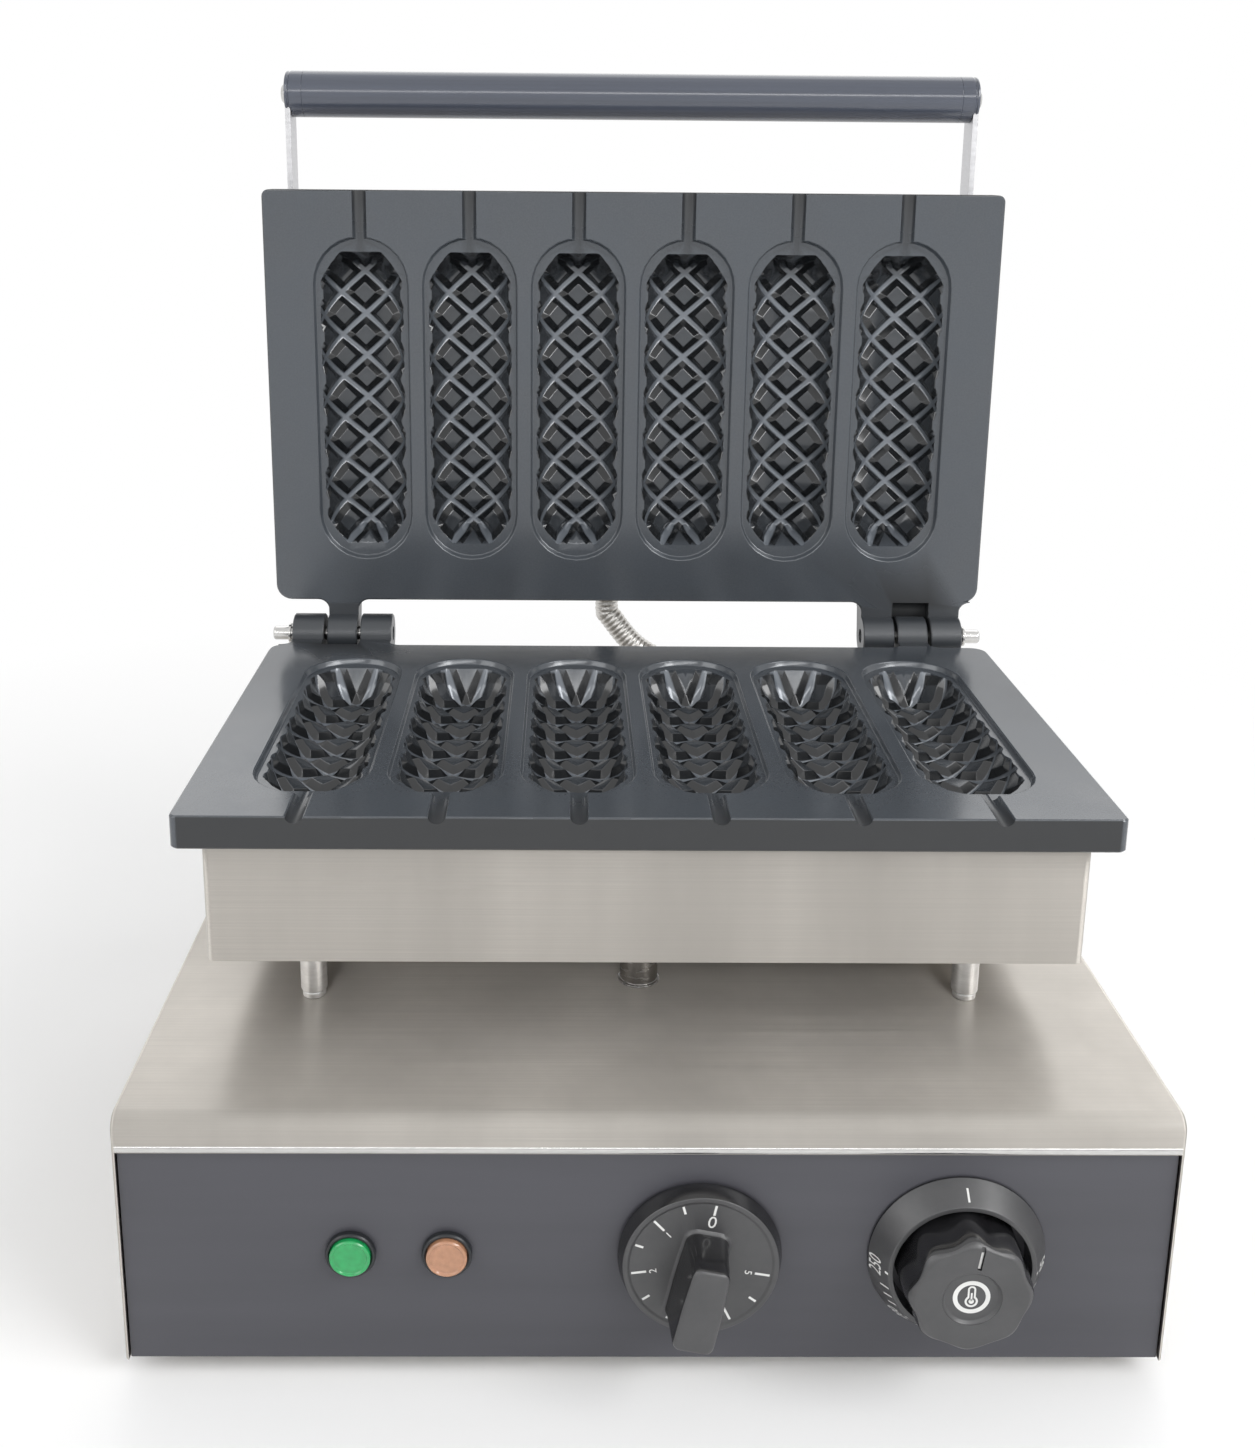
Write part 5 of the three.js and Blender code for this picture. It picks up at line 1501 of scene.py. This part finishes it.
def handle_bar(middle, radius):
    half = box_mm("handle_grip")[1][0] + SEAT
    profile = [(0, -half), (radius, -half), (radius, half), (0, half)]
    piece = turn("handle_bar", "x", profile, middle, sides=96, soften=0.3)
    place(piece, "lid", "handle_plastic", "handle_grip")


def arm_slot(name, side, middle, radius):
    """What a cap leaves free for the arm's round end and the arm below it."""
    low, high = box_mm(f"handle_arm_{name}")
    reach = (high[1] - low[1]) / 2 + ARM_CLEARANCE
    start, stop = low[0] - ARM_CLEARANCE, high[0] + ARM_CLEARANCE
    if side < 0:
        start -= ARM_CLEARANCE
    disc = cylinder("disc", reach, start, stop, middle, sides=64)
    disc.modifiers.clear()
    corner = (start, middle[0] - reach, middle[1] - 2 * radius)
    return [disc, block("slot", corner, (stop, middle[0] + reach, middle[1]))]


def handle_end(side, name, middle, radius):
    """A cap with a fine line round it, slotted for its arm."""
    node = f"handle_cap_{name}"
    inner, outer = x_ends(node, side)
    line = outer - side * CAP_LINE
    profile = [(0, inner), (radius, inner)]
    profile += placed([(radius - inset, past) for inset, past in CAP_GROOVE], line, side)
    profile += placed([(radius - inset, past) for inset, past in CAP_END], outer, side)
    profile.append((0, outer))
    piece = turn(f"handle_end_{name}", "x", profile, middle, sides=96, soften=0.1)
    boolean(piece, arm_slot(name, side, middle, radius), "DIFFERENCE")
    place(crease(piece, 35), "lid", "dark_plastic", node, material="handle_plastic")


def handle():
    low, high = box_mm("handle_grip")
    middle = centre("handle_grip", "x")
    radius = (high[2] - low[2]) / 2
    handle_bar(middle, radius)
    for side, name in ((-1, "left"), (1, "right")):
        handle_end(side, name, middle, radius)


def screw(node, head_radius, domed):
    """A domed screw head with a cross recess, and its shank inwards along X."""
    low, high = box_mm(node)
    y, z = centre(node, "x")
    side = 1 if low[0] + high[0] > 0 else -1
    inner, outer = x_ends(node, side)
    seat = outer - side * domed
    profile = [(0, inner), (SHANK_RADIUS, inner), (SHANK_RADIUS, seat), (head_radius, seat)]
    profile.append((head_radius, seat + side * HEAD_RIM))
    profile += placed([(head_radius * share, past) for share, past in HEAD_CROWN], outer, side)
    piece = turn(node + "_head", "x", profile, (y, z), sides=32, soften=0.5)
    start, end = sorted((outer - side * RECESS_DEPTH, outer + side * JOIN))
    reaches = (head_radius * RECESS_SHARE, RECESS_HALF_WIDTH)
    cuts = []
    for wide, tall in (reaches, reaches[::-1]):
        cuts.append(block("recess", (start, y - wide, z - tall), (end, y + wide, z + tall)))
    boolean(piece, cuts, "DIFFERENCE")
    place(crease(piece, 30), "lid", "bright_steel", node)


def cord_inlet():
    """A bush with a flange on each side of the panel and ribs that taper outwards."""
    low, high = box_mm("cord_inlet")
    panel = box_mm("back_panel")[1][1]
    profile = placed(INLET_INSIDE, low[1]) + placed(INLET_OUTSIDE, panel)
    for k in range(INLET_RIBS):
        rib = [(radius - INLET_TAPER * k, distance) for radius, distance in INLET_RIB]
        profile += placed(rib, panel + INLET_RIB_PITCH * k)
    profile += placed(INLET_END, high[1]) + placed(INLET_INSIDE[:1], low[1])
    middle = centre("cord_inlet", "y")
    piece = turn("inlet_bush", "y", profile, middle, sides=64, soften=0.4)
    place(piece, "base", "black_rubber", "cord_inlet")


# Conduit from the base to the lid


def gland(node, outwards, body):
    """A hexagon nut against the sheet, a threaded neck and a ferrule, along Z."""
    low, high = box_mm(node)
    middle = centre(node, "z")
    near, end = (low[2], high[2]) if outwards > 0 else (high[2], low[2])
    start = end - outwards * NUT_PLACE
    hexagon = rounded(circle(middle, NUT_CORNER, 6), NUT_SOFT, steps=3, closed=True)
    nut = prism("nut", "z", hexagon, *sorted((start, start + outwards * NUT_HEIGHT)))
    profile = placed(GLAND_START, near, outwards) + placed(GLAND_END, end, outwards)
    profile += placed(GLAND_START[:1], near)
    neck = turn("neck", "z", profile, middle, sides=48, soften=0.25)
    piece = crease(merge(node + "_fitting", [nut, neck]), 32)
    place(piece, body, "bright_steel", node)


def along_line(line):
    """The distance along a line at each of its points."""
    return np.concatenate([[0], np.cumsum(np.linalg.norm(np.diff(line, axis=0), axis=1))])


def evenly(line, count):
    """Points at even distances along a line, and those distances."""
    run = along_line(line)
    places = np.linspace(0, run[-1], count + 1)
    return np.stack([np.interp(places, run, line[:, i]) for i in range(3)], axis=-1), places


def between(t, start, end, a, b):
    """The point at a time between two timed points."""
    return (end - t) / (end - start) * a + (t - start) / (end - start) * b


def catmull_rom(points):
    """A smooth line through points, evenly divided."""
    knots = [np.array(p, float) for p in points]
    knots = [2 * knots[0] - knots[1], *knots, 2 * knots[-1] - knots[-2]]
    line = []
    for four in zip(knots, knots[1:], knots[2:], knots[3:]):
        times = [0.0]
        for a, b in zip(four, four[1:]):
            times.append(times[-1] + math.sqrt(np.linalg.norm(b - a)))
        for k in range(CURVE_STEPS):
            t = times[1] + (times[2] - times[1]) * k / CURVE_STEPS
            level = list(four)
            for span in (1, 2):
                level = [
                    between(t, times[i], times[i + span], level[i], level[i + 1])
                    for i in range(4 - span)
                ]
            line.append(between(t, times[1], times[2], *level))
    line.append(knots[-2])
    return evenly(np.array(line), CONDUIT_STEPS)[0]


def conduit_line():
    """The conduit's route from the lid to the base, straight at both ends."""
    top, bottom = np.array(CONDUIT_TOP), np.array(CONDUIT_BOTTOM)
    lead = np.array([0, 0, CONDUIT_LEAD])
    free = catmull_rom([top - lead, *CONDUIT_BENDS, bottom + lead])
    shares = [k / CONDUIT_LEAD_STEPS for k in range(CONDUIT_LEAD_STEPS)]
    last = [bottom + lead * (1 - 1 / CONDUIT_LEAD_STEPS - share) for share in shares]
    return np.array([*(top - lead * share for share in shares), *free, *last])


def armour_radius(phase):
    """The armour's radius at a share of its pitch: a ridge, then a short gap."""
    share = phase / CONDUIT_RIDGE_SHARE
    ridge = math.sin(math.pi * share) ** CONDUIT_RIDGE_POWER if share < 1 else 0
    return CONDUIT_RADIUS - CONDUIT_RIDGE * (1 - ridge)


def armour(route, length):
    """A tube along the route with one ridge that winds round it."""
    centres, places = evenly(route, int(length / CONDUIT_PITCH * RINGS_A_PITCH))
    along = np.gradient(centres, axis=0)
    along /= np.linalg.norm(along, axis=1, keepdims=True)
    side = np.array([1.0, 0, 0])
    rings = []
    for point, direction, place_along in zip(centres, along, places):
        side = side - direction * side.dot(direction)
        side /= np.linalg.norm(side)
        other = np.cross(direction, side)
        ring = []
        for k in range(CONDUIT_SIDES):
            angle = 2 * math.pi * k / CONDUIT_SIDES
            radius = armour_radius((place_along / CONDUIT_PITCH - k / CONDUIT_SIDES) % 1)
            outwards = math.cos(angle) * side + math.sin(angle) * other
            ring.append(tuple(point + radius * outwards))
        rings.append(ring)
    return loft("armoured_conduit", rings)


def lid_conduit():
    """Interlocked armour on a bent route from the lid down to the base."""
    route = conduit_line()
    length = along_line(route)[-1]
    piece = armour(route, length)
    dress(piece, "bright_steel", "braided_steel")
    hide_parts("lid_conduit")
    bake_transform(piece)


# CAD nodes that keep their shape: slot, rounding of the edges and own material if any

CAD_FINISHES = {
    "front_panel": ("panel_paint", 0.3),
    "back_panel": ("brushed_steel", 0.3),
    "base_pan": ("brushed_steel", 0.3),
    "lower_casing": ("brushed_steel", 0.9),
    "upper_casing": ("brushed_steel", 0.9),
    "handle_arm_left": ("brushed_steel", 0.5, "arm_steel"),
    "handle_arm_right": ("brushed_steel", 0.5, "arm_steel"),
    "timer_body": ("grey_plastic", 0.5),
    "thermostat_body": ("grey_plastic", 0.5),
    "terminal_block": ("grey_plastic", 0.6),
    "timer_shaft": ("brass", 0.6),
    "thermostat_shaft": ("brass", 0.6),
    "lower_heater": ("heater_steel", 0),
    "upper_heater": ("heater_steel", 0),
    "lower_heater_clamp": ("brushed_steel", 0.4),
    "upper_heater_clamp": ("brushed_steel", 0.4),
    "thermostat_bulb": ("bright_steel", 0.3),
}


def finish_cad_nodes():
    """Materials for the CAD nodes that stay, and a small round along their edges."""
    for name, (slot_name, edge, *other) in CAD_FINISHES.items():
        obj = frame["nodes"][name]
        dress(obj, slot_name, *other)
        weld = obj.modifiers.new("weld", "WELD")
        weld.merge_threshold = WELD
        if edge:
            soften_edges(obj, edge, degrees=28).harden_normals = False
        even = obj.modifiers.new("even_normals", "WEIGHTED_NORMAL")
        even.keep_sharp = False


bpy.context.scene.view_settings.view_transform = "Standard"
camera()
lid_conduit()
stage()
base_cover()
lip_beads()
for corner in ("front_left", "front_right", "rear_left", "rear_right"):
    foot(f"foot_{corner}")
    post(f"post_{corner}")
wire_tube()
plates()
timer_knob()
timer_scale()
thermostat_dial()
thermostat_knob()
thermostat_scale()
thermostat_sign()
lamp("green")
lamp("amber")
hinge_pin(-1, "left", "base")
hinge_pin(1, "right", "lid")
handle()
for hand in ("left", "right"):
    screw(f"handle_bolt_{hand}", *BOLT_HEAD)
    for end in ("front", "rear"):
        screw(f"arm_screw_{hand}_{end}", *SCREW_HEAD)
cord_inlet()
gland("conduit_gland_lower", 1, "base")
gland("conduit_gland_upper", -1, "lid")
finish_cad_nodes()
